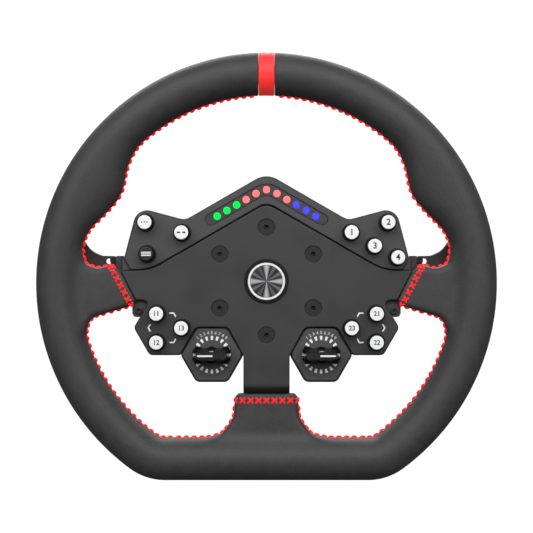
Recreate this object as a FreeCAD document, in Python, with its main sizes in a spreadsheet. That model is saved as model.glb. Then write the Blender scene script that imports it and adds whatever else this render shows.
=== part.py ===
import FreeCAD, Part
import math
import os
from FreeCAD import Placement, Rotation, Vector

# A 300 mm D-shaped racing wheel. The steering axis runs along Y through the origin, the driver sits
# on the -Y side, +Z is up and the origin is the rear mouth of the quick-release socket.
# Depths named *_front, *_back or *_level are distances ahead of the origin, towards the driver.

DIMENSIONS = {
    # rim
    "rim_radius": 150.0,
    "rim_drop": 1.1,
    "tube_radial": 27.8,
    "tube_depth": 30.0,
    "rim_level": 48.0,
    "rim_flat": 128.4,
    "corner_radius": 25.0,
    "leather_thick": 1.2,
    "seam_gap": 0.1,
    "band_width": 12.0,
    "marker_width": 10.3,
    "bulge_angle": 27.5,
    "bulge_reach": 58.0,
    "bulge_sweep": 31.0,
    "bulge_radial": 11.5,
    "bulge_depth": 13.6,
    "bulge_path": 122.9,
    "pad_front": 54.5,
    "pad_back": 41.5,
    # plates
    "plate_front": 53.0,
    "core_front": 50.0,
    "core_back": 45.0,
    "panel_front": 52.6,
    "groove": 0.35,
    "edge_round": 0.5,
    "hex_side": 20.15,
    "cluster_across": 65.65,
    "cluster_drop": 30.15,
    "dial_across": 35.4,
    "dial_drop": 47.6,
    "spoke_half": 15.0,
    # hub screws and centre button
    "hub_circle": 35.0,
    "hub_head": 5.2,
    "hub_shank": 2.5,
    "hub_socket": 1.75,
    "shank_clearance": 0.1,
    "centre_hole": 14.0,
    "ring_outer": 12.0,
    "ring_inner": 10.65,
    "badge_radius": 10.5,
    "badge_front": 54.9,
    "ring_front": 55.3,
    "ring_back": 51.9,
    "surround_front": 54.2,
    "badge_stop": 51.7,
    "badge_stop_back": 50.9,
    "badge_stem_back": 49.2,
    # push buttons
    "cap_radius": 4.5,
    "bezel_bore": 4.75,
    "bezel_body": 5.3,
    "bezel_flange": 5.9,
    "upper_rise": 9.0,
    "lower_rise": 7.5,
    "key_travel": 1.2,
    "bezel_proud": 0.6,
    "bezel_back": 49.4,
    "stop_front": 49.3,
    "stop_back": 48.4,
    "switch_height": 2.2,
    "stem_radius": 2.0,
    # shift lights
    "light_radius": 2.35,
    "window_width": 6.8,
    "window_apex": 60.8,
    "window_reach": 36.0,
    # rotary selectors
    "knob_reach": 12.3,
    "knob_half_width": 5.5,
    "knob_waist": 4.3,
    "knob_front": 67.5,
    "knob_shoulder": 58.4,
    "knob_back": 53.4,
    "rib_reach": 9.8,
    "rib_half_width": 2.0,
    "notch_reach": 9.4,
    "notch_half_width": 1.6,
    "shaft_radius": 3.0,
    # boards
    "board_front": 43.0,
    "board_thick": 1.6,
    # small screws
    "pilot_radius": 1.25,
    "pilot_depth": 9.0,
    "spoke_head": 2.3,
    "spoke_socket": 1.15,
    "cover_head": 2.7,
    "cover_head_height": 1.7,
    "cover_socket": 1.3,
    # rear housing
    "cover_back": 25.0,
    "cover_wall": 2.0,
    "cover_lip": 0.5,
    # quick release
    "socket_radius": 15.0,
    "socket_depth": 34.0,
    "barrel_radius": 21.0,
    "flange_radius": 41.0,
    "flange_thick": 6.0,
    "collar_bore": 21.4,
    "collar_radius": 27.0,
    "collar_front": 30.0,
    "collar_back": 3.0,
    "ball_radius": 3.0,
    "ball_level": 12.0,
    # paddles
    "paddle_front": 28.0,
    "paddle_thick": 2.0,
    "pivot_across": 84.0,
    "pivot_level": 32.5,
    "pin_radius": 1.5,
    "pin_clearance": 0.05,
    "pin_low": -11.5,
    "pin_length": 17.5,
    "lever_low": -8.0,
    "lever_height": 10.5,
    "magnet_radius": 3.0,
    "blade_edge": 0.6,
    # locking collar and its spring
    "spring_radius": 22.9,
    "spring_wire": 0.55,
    "spring_turns": 5.0,
    "spring_front": 38.9,
    "spring_back": 18.1,
}

doc = FreeCAD.newDocument("RacingWheel")
sheet = doc.addObject("Spreadsheet::Sheet", "Dimensions")
for row, (alias, number) in enumerate(DIMENSIONS.items(), start=1):
    sheet.set(f"A{row}", alias)
    sheet.set(f"B{row}", str(number))
    sheet.setAlias(f"B{row}", alias)
doc.recompute()


def value(alias):
    return float(sheet.get(alias))


FRONTWARD = Vector(0, -1, 0)
BACKWARD = Vector(0, 1, 0)
UPWARD = Vector(0, 0, 1)
TURN_TO_BACK = Rotation(Vector(1, 0, 0), -90)
SIN30 = math.sin(math.radians(30))
COS30 = math.cos(math.radians(30))
RIM_CENTRE = Vector(0, -value("rim_level"), -value("rim_drop"))
# where the panels of the wrap meet: angles above level round the rim, distances out along its flat
RADIAL_SEAMS = [77.0, 64.0, 52.0, 42.0, 35.0, 28.0, 21.0, 14.0, 7.0, -12.0, -17.0, -29.0, -41.0, -53.7]
UPRIGHT_SEAMS = [66.0, 34.0, 23.0]
CORE_FRONT = value("core_front")
CORE_BACK = value("core_back")
PLATE_FRONT = value("plate_front")
PANEL_FRONT = value("panel_front")
BOARD_FRONT = value("board_front")
BOARD_BACK = BOARD_FRONT - value("board_thick")
SIDES = {"left": -1, "right": 1}

parts = {}


# ---------------------------------------------------------------- outlines in the XZ plane

def rounded(points):
    """Closed outline through (x, z, radius) corners, as line and arc edges at y = 0."""
    starts, ends, arcs = [], [], []
    count = len(points)
    for index, (x, z, radius) in enumerate(points):
        corner = Vector(x, 0, z)
        before = Vector(points[index - 1][0], 0, points[index - 1][1])
        after = Vector(points[(index + 1) % count][0], 0, points[(index + 1) % count][1])
        incoming = (before - corner).normalize()
        outgoing = (after - corner).normalize()
        half = incoming.getAngle(outgoing) / 2
        if radius == 0 or abs(half - math.pi / 2) < 1e-6:
            starts.append(corner)
            ends.append(corner)
            arcs.append(None)
            continue
        tangent = radius / math.tan(half)
        middle = (incoming + outgoing).normalize()
        centre = corner + middle * (radius / math.sin(half))
        starts.append(corner + incoming * tangent)
        ends.append(corner + outgoing * tangent)
        arcs.append(centre - middle * radius)
    edges = []
    for index in range(count):
        if arcs[index] is not None:
            edges.append(Part.Arc(starts[index], arcs[index], ends[index]).toShape())
        target = starts[(index + 1) % count]
        if ends[index].distanceToPoint(target) > 1e-6:
            edges.append(Part.LineSegment(ends[index], target).toShape())
    return Part.Wire(edges)


def mirrored(points):
    """Right-hand corners from the top centre to the bottom centre, closed on the left side."""
    left = [(-x, z, radius) for x, z, radius in reversed(points) if x > 0]
    return list(points) + left


def hexagon(x, z, side, radius):
    corners = []
    for step in range(6):
        angle = math.radians(60 * step)
        corners.append((x + side * math.cos(angle), z + side * math.sin(angle), radius))
    return corners


def face_of(points, *holes):
    """Flat face at y = 0 with round holes, each given as (x, z, radius)."""
    face = Part.Face(rounded(points))
    for x, z, radius in holes:
        face = face.cut(disc(x, z, radius))
    return face


def disc(x, z, radius):
    circle = Part.Circle(Vector(x, 0, z), BACKWARD, radius)
    return Part.Face(Part.Wire(circle.toShape()))


def slab(face, front, back):
    """The face swept between two depths."""
    solid = face.copy()
    solid.translate(Vector(0, -front, 0))
    return solid.extrude(BACKWARD * (front - back))


def box(x_low, x_high, front, back, z_low, z_high):
    corner = Vector(x_low, -front, z_low)
    return Part.makeBox(x_high - x_low, front - back, z_high - z_low, corner)


def rod(x, z, radius, front, back):
    return Part.makeCylinder(radius, front - back, Vector(x, -front, z), BACKWARD)


def tube(x, z, outer, inner, front, back):
    return rod(x, z, outer, front, back).cut(rod(x, z, inner, front, back))


def mirror_x(shape):
    return shape.mirror(Vector(0, 0, 0), Vector(1, 0, 0))


# ---------------------------------------------------------------- document objects

def shape_part(label, shape):
    """Sub-part whose shape is built by Part functions from the sheet's numbers."""
    feature = doc.addObject("Part::Feature", label)
    feature.Label = label
    feature.Shape = shape
    feature.Placement = shape.Placement
    parts[label] = feature
    return feature


def named(label, feature):
    feature.Label = label
    parts[label] = feature
    return feature


def new_body(label):
    body = doc.addObject("PartDesign::Body", label)
    return named(label, body)


def origin_plane(body, role):
    return next(item for item in body.Origin.OriginFeatures if item.Role == role)


def front_sketch(body, name, wires, level):
    """Sketch parallel to the XZ plane, at the depth that the expression gives."""
    sketch = body.newObject("Sketcher::SketchObject", name)
    sketch.AttachmentSupport = [(origin_plane(body, "XZ_Plane"), "")]
    sketch.MapMode = "FlatFace"
    sketch.setExpression("AttachmentOffset.Base.z", level)
    for wire in wires:
        for edge in wire.Edges:
            sketch.addGeometry(flat_curve(edge), False)
    return sketch


def flat_curve(edge):
    """Edge of an outline in the XZ plane, as sketch geometry in the sketch's own plane."""
    ends = [Vector(v.Point.x, v.Point.z, 0) for v in (edge.firstVertex(), edge.lastVertex())]
    if edge.Curve.TypeId == "Part::GeomLine":
        return Part.LineSegment(ends[0], ends[1])
    centre = Vector(edge.Curve.Center.x, edge.Curve.Center.z, 0)
    if edge.isClosed():
        return Part.Circle(centre, Vector(0, 0, 1), edge.Curve.Radius)
    halfway = edge.valueAt((edge.FirstParameter + edge.LastParameter) / 2)
    return Part.Arc(ends[0], Vector(halfway.x, halfway.z, 0), ends[1])


def pad(body, name, wires, back, thickness):
    """Plate padded towards the driver from its back level."""
    sketch = front_sketch(body, name + "_sketch", wires, back)
    feature = body.newObject("PartDesign::Pad", name)
    feature.Profile = sketch
    feature.setExpression("Length", thickness)
    doc.recompute()
    return feature


def circle_wire(x, z, radius):
    return Part.Wire(Part.Circle(Vector(x, 0, z), BACKWARD, radius).toShape())


def cylinder(name, radius, length, x, front, z):
    """Part cylinder along Y, its radius, length and front level bound to the sheet."""
    feature = doc.addObject("Part::Cylinder", name)
    feature.Placement = Placement(Vector(x, 0, z), TURN_TO_BACK)
    feature.setExpression("Radius", radius)
    feature.setExpression("Height", length)
    feature.setExpression("Placement.Base.y", f"-({front})")
    return feature


def fused(name, features):
    feature = doc.addObject("Part::MultiFuse", name)
    feature.Shapes = features
    feature.Refine = True
    return feature


def cut(name, base, tool):
    feature = doc.addObject("Part::Cut", name)
    feature.Base = base
    feature.Tool = tool
    return feature


def group(label, features):
    """Identical separate solids kept in one sub-part."""
    feature = doc.addObject("Part::Compound", label)
    feature.Links = features
    return named(label, feature)


def ring(name, outer, inner, front, back):
    """Flat ring round the steering axis, its radii and levels given as aliases of the sheet."""
    length = f"Dimensions.{front} - Dimensions.{back}"
    level = f"Dimensions.{front}"
    solid = cylinder(name + "_outer", f"Dimensions.{outer}", length, 0, level, 0)
    hole = cylinder(name + "_inner", f"Dimensions.{inner}", length, 0, level, 0)
    return cut(name, solid, hole)


# ---------------------------------------------------------------- places

SPOKE_SCREW = (83.0, -19.1)
PADDLE_SCREWS = [(102.0, -2.75), (109.0, -2.75)]
CLUSTER_STEPS = {"1": 120, "2": 240, "3": 0}
CLUSTER_REACH = 10.7
UPPER_BUTTONS = {
    "button_left_top": (-78.4, 38.1),
    "button_left_inner": (-54.8, 31.5),
    "button_left_low": (-77.4, 17.7),
    "button_right_top": (78.4, 38.1),
    "button_right_inner": (54.8, 31.6),
    "button_right_middle": (69.7, 22.9),
    "button_right_low": (84.6, 15.5),
}
POD_POSTS = [(-46.0, 36.8), (46.0, 36.8), (-84.0, 28.0), (84.0, 28.0)]
POST_RADIUS = 2.5
LIGHTS = {
    "lights_green": [(-19.4, 49.5), (-25.7, 45.9), (-32.0, 42.2)],
    "lights_red": [(-13.2, 53.0), (-6.8, 56.9), (0.0, 59.4), (6.8, 56.9), (13.2, 53.0)],
    "lights_blue": [(19.4, 49.5), (25.7, 45.9), (32.0, 42.2)],
}


def cluster_buttons():
    places = {}
    for side, sign in SIDES.items():
        for number, angle in CLUSTER_STEPS.items():
            x = value("cluster_across") + CLUSTER_REACH * -math.cos(math.radians(angle))
            z = -value("cluster_drop") + CLUSTER_REACH * math.sin(math.radians(angle))
            places[f"cluster_{side}_{number}"] = (sign * x, z)
    return places


def dial_centres():
    return {side: (sign * value("dial_across"), -value("dial_drop")) for side, sign in SIDES.items()}


def hub_places():
    places = []
    for step in range(6):
        angle = math.radians(90 + 60 * step)
        radius = value("hub_circle")
        places.append((radius * math.cos(angle), radius * math.sin(angle)))
    return places


LOWER_BUTTONS = cluster_buttons()
DIALS = dial_centres()
CLUSTER_POSTS = [(sign * value("cluster_across"), -value("cluster_drop")) for sign in (-1, 1)]
DIAL_POSTS = [(sign * value("dial_across"), -59.3) for sign in (-1, 1)]


# ---------------------------------------------------------------- rim

def rim_path(offset):
    """D-shaped rim line moved outwards by the offset, as start data for its four stretches."""
    half_tube = value("tube_radial") / 2
    radius = value("rim_radius") - half_tube + offset
    corner = value("corner_radius") + offset
    flat = -(value("rim_flat") - half_tube + offset)
    corner_z = flat + corner
    corner_x = math.sqrt((radius - corner) ** 2 - corner_z ** 2)
    return radius, corner, flat, corner_x, corner_z


def rim_outline(offset):
    """Closed wire of the D shape in the XZ plane, centred on the rim."""
    radius, corner, flat, corner_x, corner_z = rim_path(offset)
    reach = Vector(corner_x, 0, corner_z).normalize()
    join = reach * radius
    centre = Vector(corner_x, 0, corner_z)
    low = Vector(corner_x, 0, flat)
    bisector = (reach + Vector(0, 0, -1)).normalize()
    middle = centre + bisector * corner
    left = Vector(-1, 0, 0)
    edges = [
        Part.Arc(join, Vector(0, 0, radius), Vector(-join.x, 0, join.z)),
        Part.Arc(Vector(-join.x, 0, join.z), Vector(-middle.x, 0, middle.z), Vector(-low.x, 0, low.z)),
        Part.LineSegment(left * corner_x + Vector(0, 0, flat), low),
        Part.Arc(low, middle, join),
    ]
    wire = Part.Wire([edge.toShape() for edge in edges])
    wire.translate(Vector(0, 0, RIM_CENTRE.z))
    return wire


def rim_section(at, outward, radial, depth):
    """Elliptical tube section at a point of the rim line."""
    major, minor = max(radial, depth), min(radial, depth)
    along = BACKWARD if depth >= radial else outward
    across = outward if depth >= radial else BACKWARD
    ellipse = Part.Ellipse(at + along * major, at + across * minor, at)
    return Part.Face(Part.Wire(ellipse.toShape()))


def rim_tube(inset):
    """Tube round the whole rim line, made of turned arcs and one straight stretch."""
    radius, corner, flat, corner_x, corner_z = rim_path(0)
    radial = value("tube_radial") / 2 - inset
    depth = value("tube_depth") / 2 - inset
    side_angle = math.degrees(math.atan2(corner_x, -corner_z))
    low_point = RIM_CENTRE + Vector(corner_x, 0, flat)
    flat_run = rim_section(low_point, Vector(0, 0, -1), radial, depth).extrude(Vector(-2 * corner_x, 0, 0))
    solid = flat_run
    for sign in (-1, 1):
        end = RIM_CENTRE + Vector(sign * corner_x, 0, flat)
        pivot = RIM_CENTRE + Vector(sign * corner_x, 0, corner_z)
        section = rim_section(end, Vector(0, 0, -1), radial, depth)
        solid = solid.fuse(section.revolve(pivot, Vector(0, -sign, 0), side_angle))
    start = Vector(corner_x, 0, corner_z).normalize()
    section = rim_section(RIM_CENTRE + start * radius, start, radial, depth)
    solid = solid.fuse(section.revolve(RIM_CENTRE, FRONTWARD, 360 - 2 * side_angle))
    return solid.removeSplitter()


def thumb_bulge(sign, inset):
    """Thicker grip at ten to two, curving the other way from the rim."""
    angle = math.radians(value("bulge_angle"))
    direction = Vector(sign * math.cos(angle), 0, math.sin(angle))
    far = RIM_CENTRE + direction * (value("bulge_path") + value("bulge_reach"))
    near = RIM_CENTRE + direction * value("bulge_path")
    section = rim_section(near, direction, value("bulge_radial") - inset, value("bulge_depth") - inset)
    sweep = value("bulge_sweep")
    section.rotate(far, BACKWARD, -sweep)
    return section.revolve(far, BACKWARD, 2 * sweep)


def side_pad_points(inset):
    """Leather-covered root of the right-hand spoke."""
    return [
        (94.9 + inset, 7.0 - inset, 1.0),
        (101.0, 10.9 - inset, 6.0),
        (109.5, 8.6 - inset, 7.0),
        (117.5, 11.5 - inset, 5.0),
        (124.0, 24.0, 0.0),
        (134.0, 20.0, 0.0),
        (134.0, -36.0, 0.0),
        (121.0, -36.0, 0.0),
        (113.4, -23.8 + inset, 9.0),
        (91.0, -17.2 + inset, 4.0),
        (87.0 + inset, -16.0 + inset, 1.5),
        (85.2 + inset, -12.5, 2.0),
    ]


def bottom_pad_points(inset):
    """Leather-covered root of the bottom spoke, right half."""
    return [
        (18.2 - inset / 2, -73.3 - inset, 2.0),
        (20.9 - inset, -76.0, 2.0),
        (21.6 - inset, -88.5, 9.0),
        (29.2 - inset, -99.2, 8.0),
        (38.0, -105.0, 0.0),
        (38.0, -112.0, 0.0),
    ]


def grip_solid(inset):
    """Whole outer form of the wrapped rim with its spoke roots."""
    front = value("pad_front") - inset
    back = value("pad_back") + inset
    right_pad = slab(Part.Face(rounded(side_pad_points(inset))), front, back)
    bottom_pad = slab(Part.Face(rounded(mirrored(bottom_pad_points(inset)))), front, back)
    shapes = [thumb_bulge(-1, inset), thumb_bulge(1, inset), right_pad, mirror_x(right_pad), bottom_pad]
    return rim_tube(inset).multiFuse(shapes).removeSplitter()


def panel_seams():
    """Thin slits across the wrapped rim, where its sewn panels meet."""
    half_gap = value("seam_gap") / 2
    slits = []
    for angle in RADIAL_SEAMS:
        for turn in (angle, 180 - angle):
            slit = box(80, 175, 70, 20, RIM_CENTRE.z - half_gap, RIM_CENTRE.z + half_gap)
            slit.rotate(RIM_CENTRE, FRONTWARD, turn)
            slits.append(slit)
    for across in UPRIGHT_SEAMS:
        for side in (-across, across):
            slits.append(box(side - half_gap, side + half_gap, 70, 20, -135, -80))
    return Part.makeCompound(slits)


def make_rim():
    half_band = value("band_width") / 2
    core = new_body("rim_core")
    ring_wires = [rim_outline(half_band), rim_outline(-half_band)]
    thickness = "Dimensions.core_front - Dimensions.core_back"
    pad(core, "core_band", ring_wires, "Dimensions.core_back", thickness)
    arm = mirrored([
        (0.0, 43.0, 0.0),
        (24.0, 36.0, 14.0),
        (44.0, 6.6, 6.0),
        (104.0, 6.6, 5.0),
        (132.0, 14.0, 0.0),
        (132.0, -26.0, 0.0),
        (104.0, -12.0, 5.0),
        (87.3, -12.0, 0.0),
        (87.3, -23.3, 3.0),
        (77.0, -23.3, 1.0),
        (77.0, -12.0, 1.0),
        (44.0, -12.0, 8.0),
        (30.0, -32.0, 8.0),
        (13.0, -42.5, 4.0),
        (13.0, -112.5, 0.0),
    ])
    holes = [circle_wire(0, 0, 11.5)]
    holes += [circle_wire(x, z, value("hub_shank") + value("shank_clearance")) for x, z in hub_places()]
    screw_gap = value("pilot_radius") + value("shank_clearance")
    holes += [circle_wire(sign * SPOKE_SCREW[0], SPOKE_SCREW[1], screw_gap) for sign in (-1, 1)]
    pad(core, "core_spokes", [rounded(arm)] + holes, "Dimensions.core_back", thickness)

    outer = grip_solid(0)
    inner = grip_solid(value("leather_thick"))
    core_shape = core.Shape
    half_marker = value("marker_width") / 2
    crown = box(-half_marker, half_marker, 70, 20, 100, 160)
    crown_gap = box(-half_marker - 0.15, half_marker + 0.15, 70, 20, 100, 160)
    skin = outer.cut(inner)
    shape_part("rim_leather", skin.cut(crown_gap).cut(core_shape).cut(panel_seams()))
    shape_part("centre_marker", skin.common(crown))
    shape_part("rim_foam", inner.cut(core_shape))


# ---------------------------------------------------------------- plates

def plate_points():
    """Front control plate, right half, from the top to the bottom."""
    side = value("hex_side")
    across = value("cluster_across")
    drop = value("cluster_drop")
    dial = value("dial_across")
    dial_drop = value("dial_drop")
    rise = side * COS30
    groove = value("groove")
    return [
        (0.0, 50.6, 10.0),
        (75.8, 7.0, 30.0),
        (94.8, 7.0, 0.8),
        (84.9, -12.2, 0.8),
        (across + side / 2 - 0.7, -12.2, 3.0),
        (across + side, -drop, 3.0),
        (across + side / 2, -drop - rise, 3.5),
        (across - side / 2 + groove, -drop - rise, 0.5),
        (dial + side / 2 + groove, -dial_drop + rise + groove, 4.2),
        (dial - side / 2 - groove, -dial_drop + rise + groove, 4.2),
        (value("spoke_half"), -dial_drop - 1.0, 0.8),
        (value("spoke_half"), -73.0, 0.0),
    ]


def make_face_plate():
    body = new_body("face_plate")
    wires = [rounded(mirrored(plate_points())), circle_wire(0, 0, value("centre_hole"))]
    wires += [circle_wire(x, z, value("bezel_body")) for x, z in LOWER_BUTTONS.values()]
    wires += [circle_wire(x, z, value("hub_shank") + value("shank_clearance")) for x, z in hub_places()]
    pad(body, "plate_pad", wires, "Dimensions.core_front", "Dimensions.plate_front - Dimensions.core_front")
    posts = [circle_wire(x, z, POST_RADIUS) for x, z in CLUSTER_POSTS]
    post_length = "Dimensions.core_front - Dimensions.cover_back - Dimensions.cover_wall"
    pad(body, "plate_posts", posts, "Dimensions.cover_back + Dimensions.cover_wall", post_length)
    doc.recompute()

    head = value("hub_head") + 0.35
    slope = head - value("hub_shank") - value("shank_clearance")
    shape = body.Shape
    for x, z in hub_places():
        mouth = Vector(x, -PLATE_FRONT, z)
        shape = shape.cut(Part.makeCone(head, head - slope, slope, mouth, BACKWARD))
    shape = shape.cut(lower_end_tool())
    shape = rounded_front(shape, PLATE_FRONT)
    shape = shape.cut(screw_tools(CLUSTER_POSTS))
    del parts["face_plate"]
    body.Label = "face_plate_blank"
    shape_part("face_plate", shape)


def lower_end_tool():
    """Cut that rolls the plate's lower end back in front of the bottom leather."""
    reach, fall, lowest = 6.4, 2.5, -73.0
    radius = (reach ** 2 + fall ** 2) / (2 * fall)
    start = Vector(-20, -PLATE_FRONT, lowest + reach)
    end = Vector(-20, -PLATE_FRONT + fall, lowest)
    centre = start + BACKWARD * radius
    halfway = (start + end) * 0.5 - centre
    middle = centre + halfway.normalize() * radius
    below = Vector(-20, -PLATE_FRONT + fall, lowest - 0.8)
    outside = Vector(-20, -PLATE_FRONT - 1, lowest - 0.8)
    edges = [
        Part.Arc(start, middle, end).toShape(),
        Part.LineSegment(end, below).toShape(),
        Part.LineSegment(below, outside).toShape(),
        Part.LineSegment(outside, start).toShape(),
    ]
    return Part.Face(Part.Wire(edges)).extrude(Vector(40, 0, 0))


def rounded_front(shape, level):
    """Small round on the outline edges of a plate's front face."""
    edges = []
    for edge in shape.Edges:
        bounds = edge.BoundBox
        flat = abs(bounds.YMin + level) < 1e-4 and abs(bounds.YMax + level) < 1e-4
        circle = edge.isClosed()
        if flat and not circle and bounds.ZMin > -66:
            edges.append(edge)
    return shape.makeFillet(value("edge_round"), edges)


def screw_tools(places):
    """Blind thread holes in the back ends of the screw posts."""
    cover_inside = value("cover_back") + value("cover_wall")
    depth = cover_inside + value("pilot_depth")
    holes = [rod(x, z, value("pilot_radius"), depth, cover_inside) for x, z in places]
    return Part.makeCompound(holes)


def pod_points():
    """Front of the upper switch pod, right half."""
    return [
        (0.0, 69.9, 13.6),
        (52.8, 39.4, 9.0),
        (83.6, 47.6, 8.5),
        (92.3, 14.6, 4.0),
        (88.3, 7.5, 0.8),
        (75.9, 7.5, 30.5),
        (0.0, 51.3, 10.0),
    ]


def window_points(growth):
    """Chevron of the shift-light window, right half."""
    half = value("window_width") / 2 + growth
    apex = value("window_apex")
    run = value("window_reach") / COS30 + half
    end_x = run * COS30
    end_z = apex - run * SIN30
    return [
        (0.0, apex + half / COS30, 13.0 + growth),
        (end_x + half * SIN30, end_z + half * COS30, half * 0.98),
        (end_x - half * SIN30, end_z - half * COS30, half * 0.98),
        (0.0, apex - half / COS30, 7.0 - growth),
    ]


def make_switch_panel():
    body = new_body("switch_panel_blank")
    wires = [rounded(mirrored(pod_points())), rounded(mirrored(window_points(0.05)))]
    wires += [circle_wire(x, z, value("bezel_body")) for x, z in UPPER_BUTTONS.values()]
    pad(body, "panel_pad", wires, "Dimensions.core_front", "Dimensions.panel_front - Dimensions.core_front")
    posts = [circle_wire(x, z, POST_RADIUS) for x, z in POD_POSTS]
    post_length = "Dimensions.core_front - Dimensions.cover_back - Dimensions.cover_wall"
    pad(body, "panel_posts", posts, "Dimensions.cover_back + Dimensions.cover_wall", post_length)
    del parts["switch_panel_blank"]
    shape = rounded_front(body.Shape, PANEL_FRONT).cut(screw_tools(POD_POSTS))
    shape_part("switch_panel", shape)


def make_dial_panels():
    side = value("hex_side") - value("groove") / COS30
    for name, (x, z) in DIALS.items():
        post_x, post_z = next(place for place in DIAL_POSTS if place[0] * x > 0)
        corners = [(at, level, 0.6 if abs(at) > abs(x) + 0.9 * side else radius)
                   for at, level, radius in hexagon(x, z, side, 4.0)]
        face = face_of(corners, (x, z, 3.6))
        panel = slab(face, PANEL_FRONT + 0.2, CORE_FRONT)
        post = rod(post_x, post_z, POST_RADIUS, CORE_FRONT, value("cover_back") + value("cover_wall"))
        shape = rounded_front(panel, PANEL_FRONT + 0.2).fuse(post).cut(screw_tools([(post_x, post_z)]))
        shape_part(f"dial_panel_{name}", shape)


def make_light_window():
    face = Part.Face(rounded(mirrored(window_points(0))))
    for places in LIGHTS.values():
        for x, z in places:
            face = face.cut(disc(x, z, value("light_radius") + 0.1))
    shape_part("light_window", slab(face, PANEL_FRONT + 0.1, PANEL_FRONT - 1.4))


def make_lights():
    """Round lights standing on the upper board and showing through the window."""
    for label, places in LIGHTS.items():
        lights = []
        for index, (x, z) in enumerate(places, start=1):
            front = "Dimensions.panel_front + 0.5"
            length = "Dimensions.panel_front + 0.5 - Dimensions.board_front"
            name = f"{label}_{index}"
            stem = cylinder(name, "Dimensions.light_radius", length, x, front, z)
            dome = doc.addObject("Part::Fillet", name + "_dome")
            doc.recompute()
            dome.Base = stem
            dome.Edges = [(front_edge(stem.Shape), 0.5, 0.5)]
            lights.append(dome)
        group(label, lights)


def front_edge(shape):
    """Number of the round edge nearest the driver."""
    rounds = []
    for index, edge in enumerate(shape.Edges, start=1):
        if edge.isClosed() and edge.BoundBox.YLength < 1e-4:
            rounds.append((edge.BoundBox.YMax, index))
    return min(rounds)[1]


# ---------------------------------------------------------------- push buttons

def make_buttons(places, rise, panel):
    """Push buttons: cap, retaining flange and stem in one piece, sliding in its bezel."""
    for label, (x, z) in places.items():
        front = f"{panel} + {rise}"
        stop, back = "Dimensions.stop_front", "Dimensions.stop_back"
        gap = "Dimensions.board_front - Dimensions.switch_height - Dimensions.key_travel - 0.2"
        cap = cylinder(label + "_cap", "Dimensions.cap_radius", f"{front} - {back}", x, front, z)
        flange = cylinder(label + "_flange", "Dimensions.bezel_body", f"{stop} - {back}", x, stop, z)
        stem = cylinder(label + "_stem", "Dimensions.stem_radius", f"{back} - {gap}", x, back, z)
        doc.recompute()
        crown = doc.addObject("Part::Fillet", label + "_crown")
        crown.Base = cap
        crown.Edges = [(front_edge(cap.Shape), 0.5, 0.5)]
        named(label, fused(label, [crown, flange, stem]))


def make_bezels(label, places, panel):
    """Rings lining the button holes, with a flange on the front of the panel."""
    rings = []
    for index, (x, z) in enumerate(places.values(), start=1):
        name = f"{label}_{index}"
        front = f"{panel} + Dimensions.bezel_proud"
        length = f"{front} - Dimensions.bezel_back"
        sleeve = cylinder(name + "_sleeve", "Dimensions.bezel_body", length, x, front, z)
        flange = cylinder(name + "_flange", "Dimensions.bezel_flange", "Dimensions.bezel_proud", x, front, z)
        bore = cylinder(name + "_bore", "Dimensions.bezel_bore", f"{length} + 1", x, f"{front} + 0.5", z)
        rings.append(cut(name, fused(name + "_body", [sleeve, flange]), bore))
    group(label, rings)


def make_switches():
    """Square push switches on the two boards, and the centre one on its own round base."""
    solids = []
    for x, z in list(UPPER_BUTTONS.values()) + list(LOWER_BUTTONS.values()):
        case = box(x - 3, x + 3, BOARD_FRONT + 1.6, BOARD_FRONT, z - 3, z + 3)
        solids.append(case.fuse(rod(x, z, 1.7, BOARD_FRONT + 2.2, BOARD_FRONT + 1.6)))
    base = rod(0, 0, 11.2, 46.6, CORE_BACK)
    solids.append(base.multiFuse([box(-3, 3, 48.2, 46.6, -3, 3), rod(0, 0, 1.7, 48.6, 48.2)]))
    shape_part("tact_switches", Part.makeCompound(solids))


def make_centre_button():
    """Round metal button in the middle with its bright ring and dark surround."""
    front, stop, back = "Dimensions.badge_front", "Dimensions.badge_stop", "Dimensions.badge_stop_back"
    disc_part = cylinder("badge_disc", "Dimensions.badge_radius", f"{front} - {stop}", 0, front, 0)
    flange = cylinder("badge_flange", "Dimensions.ring_inner + 0.6", f"{stop} - {back}", 0, stop, 0)
    stem_length = f"{back} - Dimensions.badge_stem_back"
    stem = cylinder("badge_stem", "Dimensions.stem_radius", stem_length, 0, back, 0)
    doc.recompute()
    dome = doc.addObject("Part::Fillet", "badge_dome")
    dome.Base = disc_part
    dome.Edges = [(front_edge(disc_part.Shape), 0.6, 0.6)]
    named("centre_button", fused("centre_button", [dome, flange, stem]))
    bright = ring("bright_ring", "ring_outer", "ring_inner", "ring_front", "ring_back")
    named("centre_ring", bright)
    surround = ring("surround", "centre_hole", "ring_outer", "surround_front", "core_front")
    named("centre_bezel", surround)


# ---------------------------------------------------------------- rotary selectors

def knob_profile():
    """Waisted bar with a hub bulge in the middle and a sight notch in each end."""
    reach, width, waist = value("knob_reach"), value("knob_half_width"), value("knob_waist")
    notch, sight = value("notch_reach"), value("notch_half_width")
    quarter = [
        (0.0, width + 0.3, 3.4),
        (3.6, waist - 0.1, 1.6),
        (6.0, waist - 0.1, 2.4),
        (8.4, width + 0.1, 1.4),
        (10.5, width + 0.1, 0.8),
        (reach, 2.7, 0.8),
        (reach, sight, 0.4),
        (notch, sight, 0.8),
    ]
    lower = [(x, -z, radius) for x, z, radius in reversed(quarter)]
    return face_of(mirrored(quarter + lower))


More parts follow.
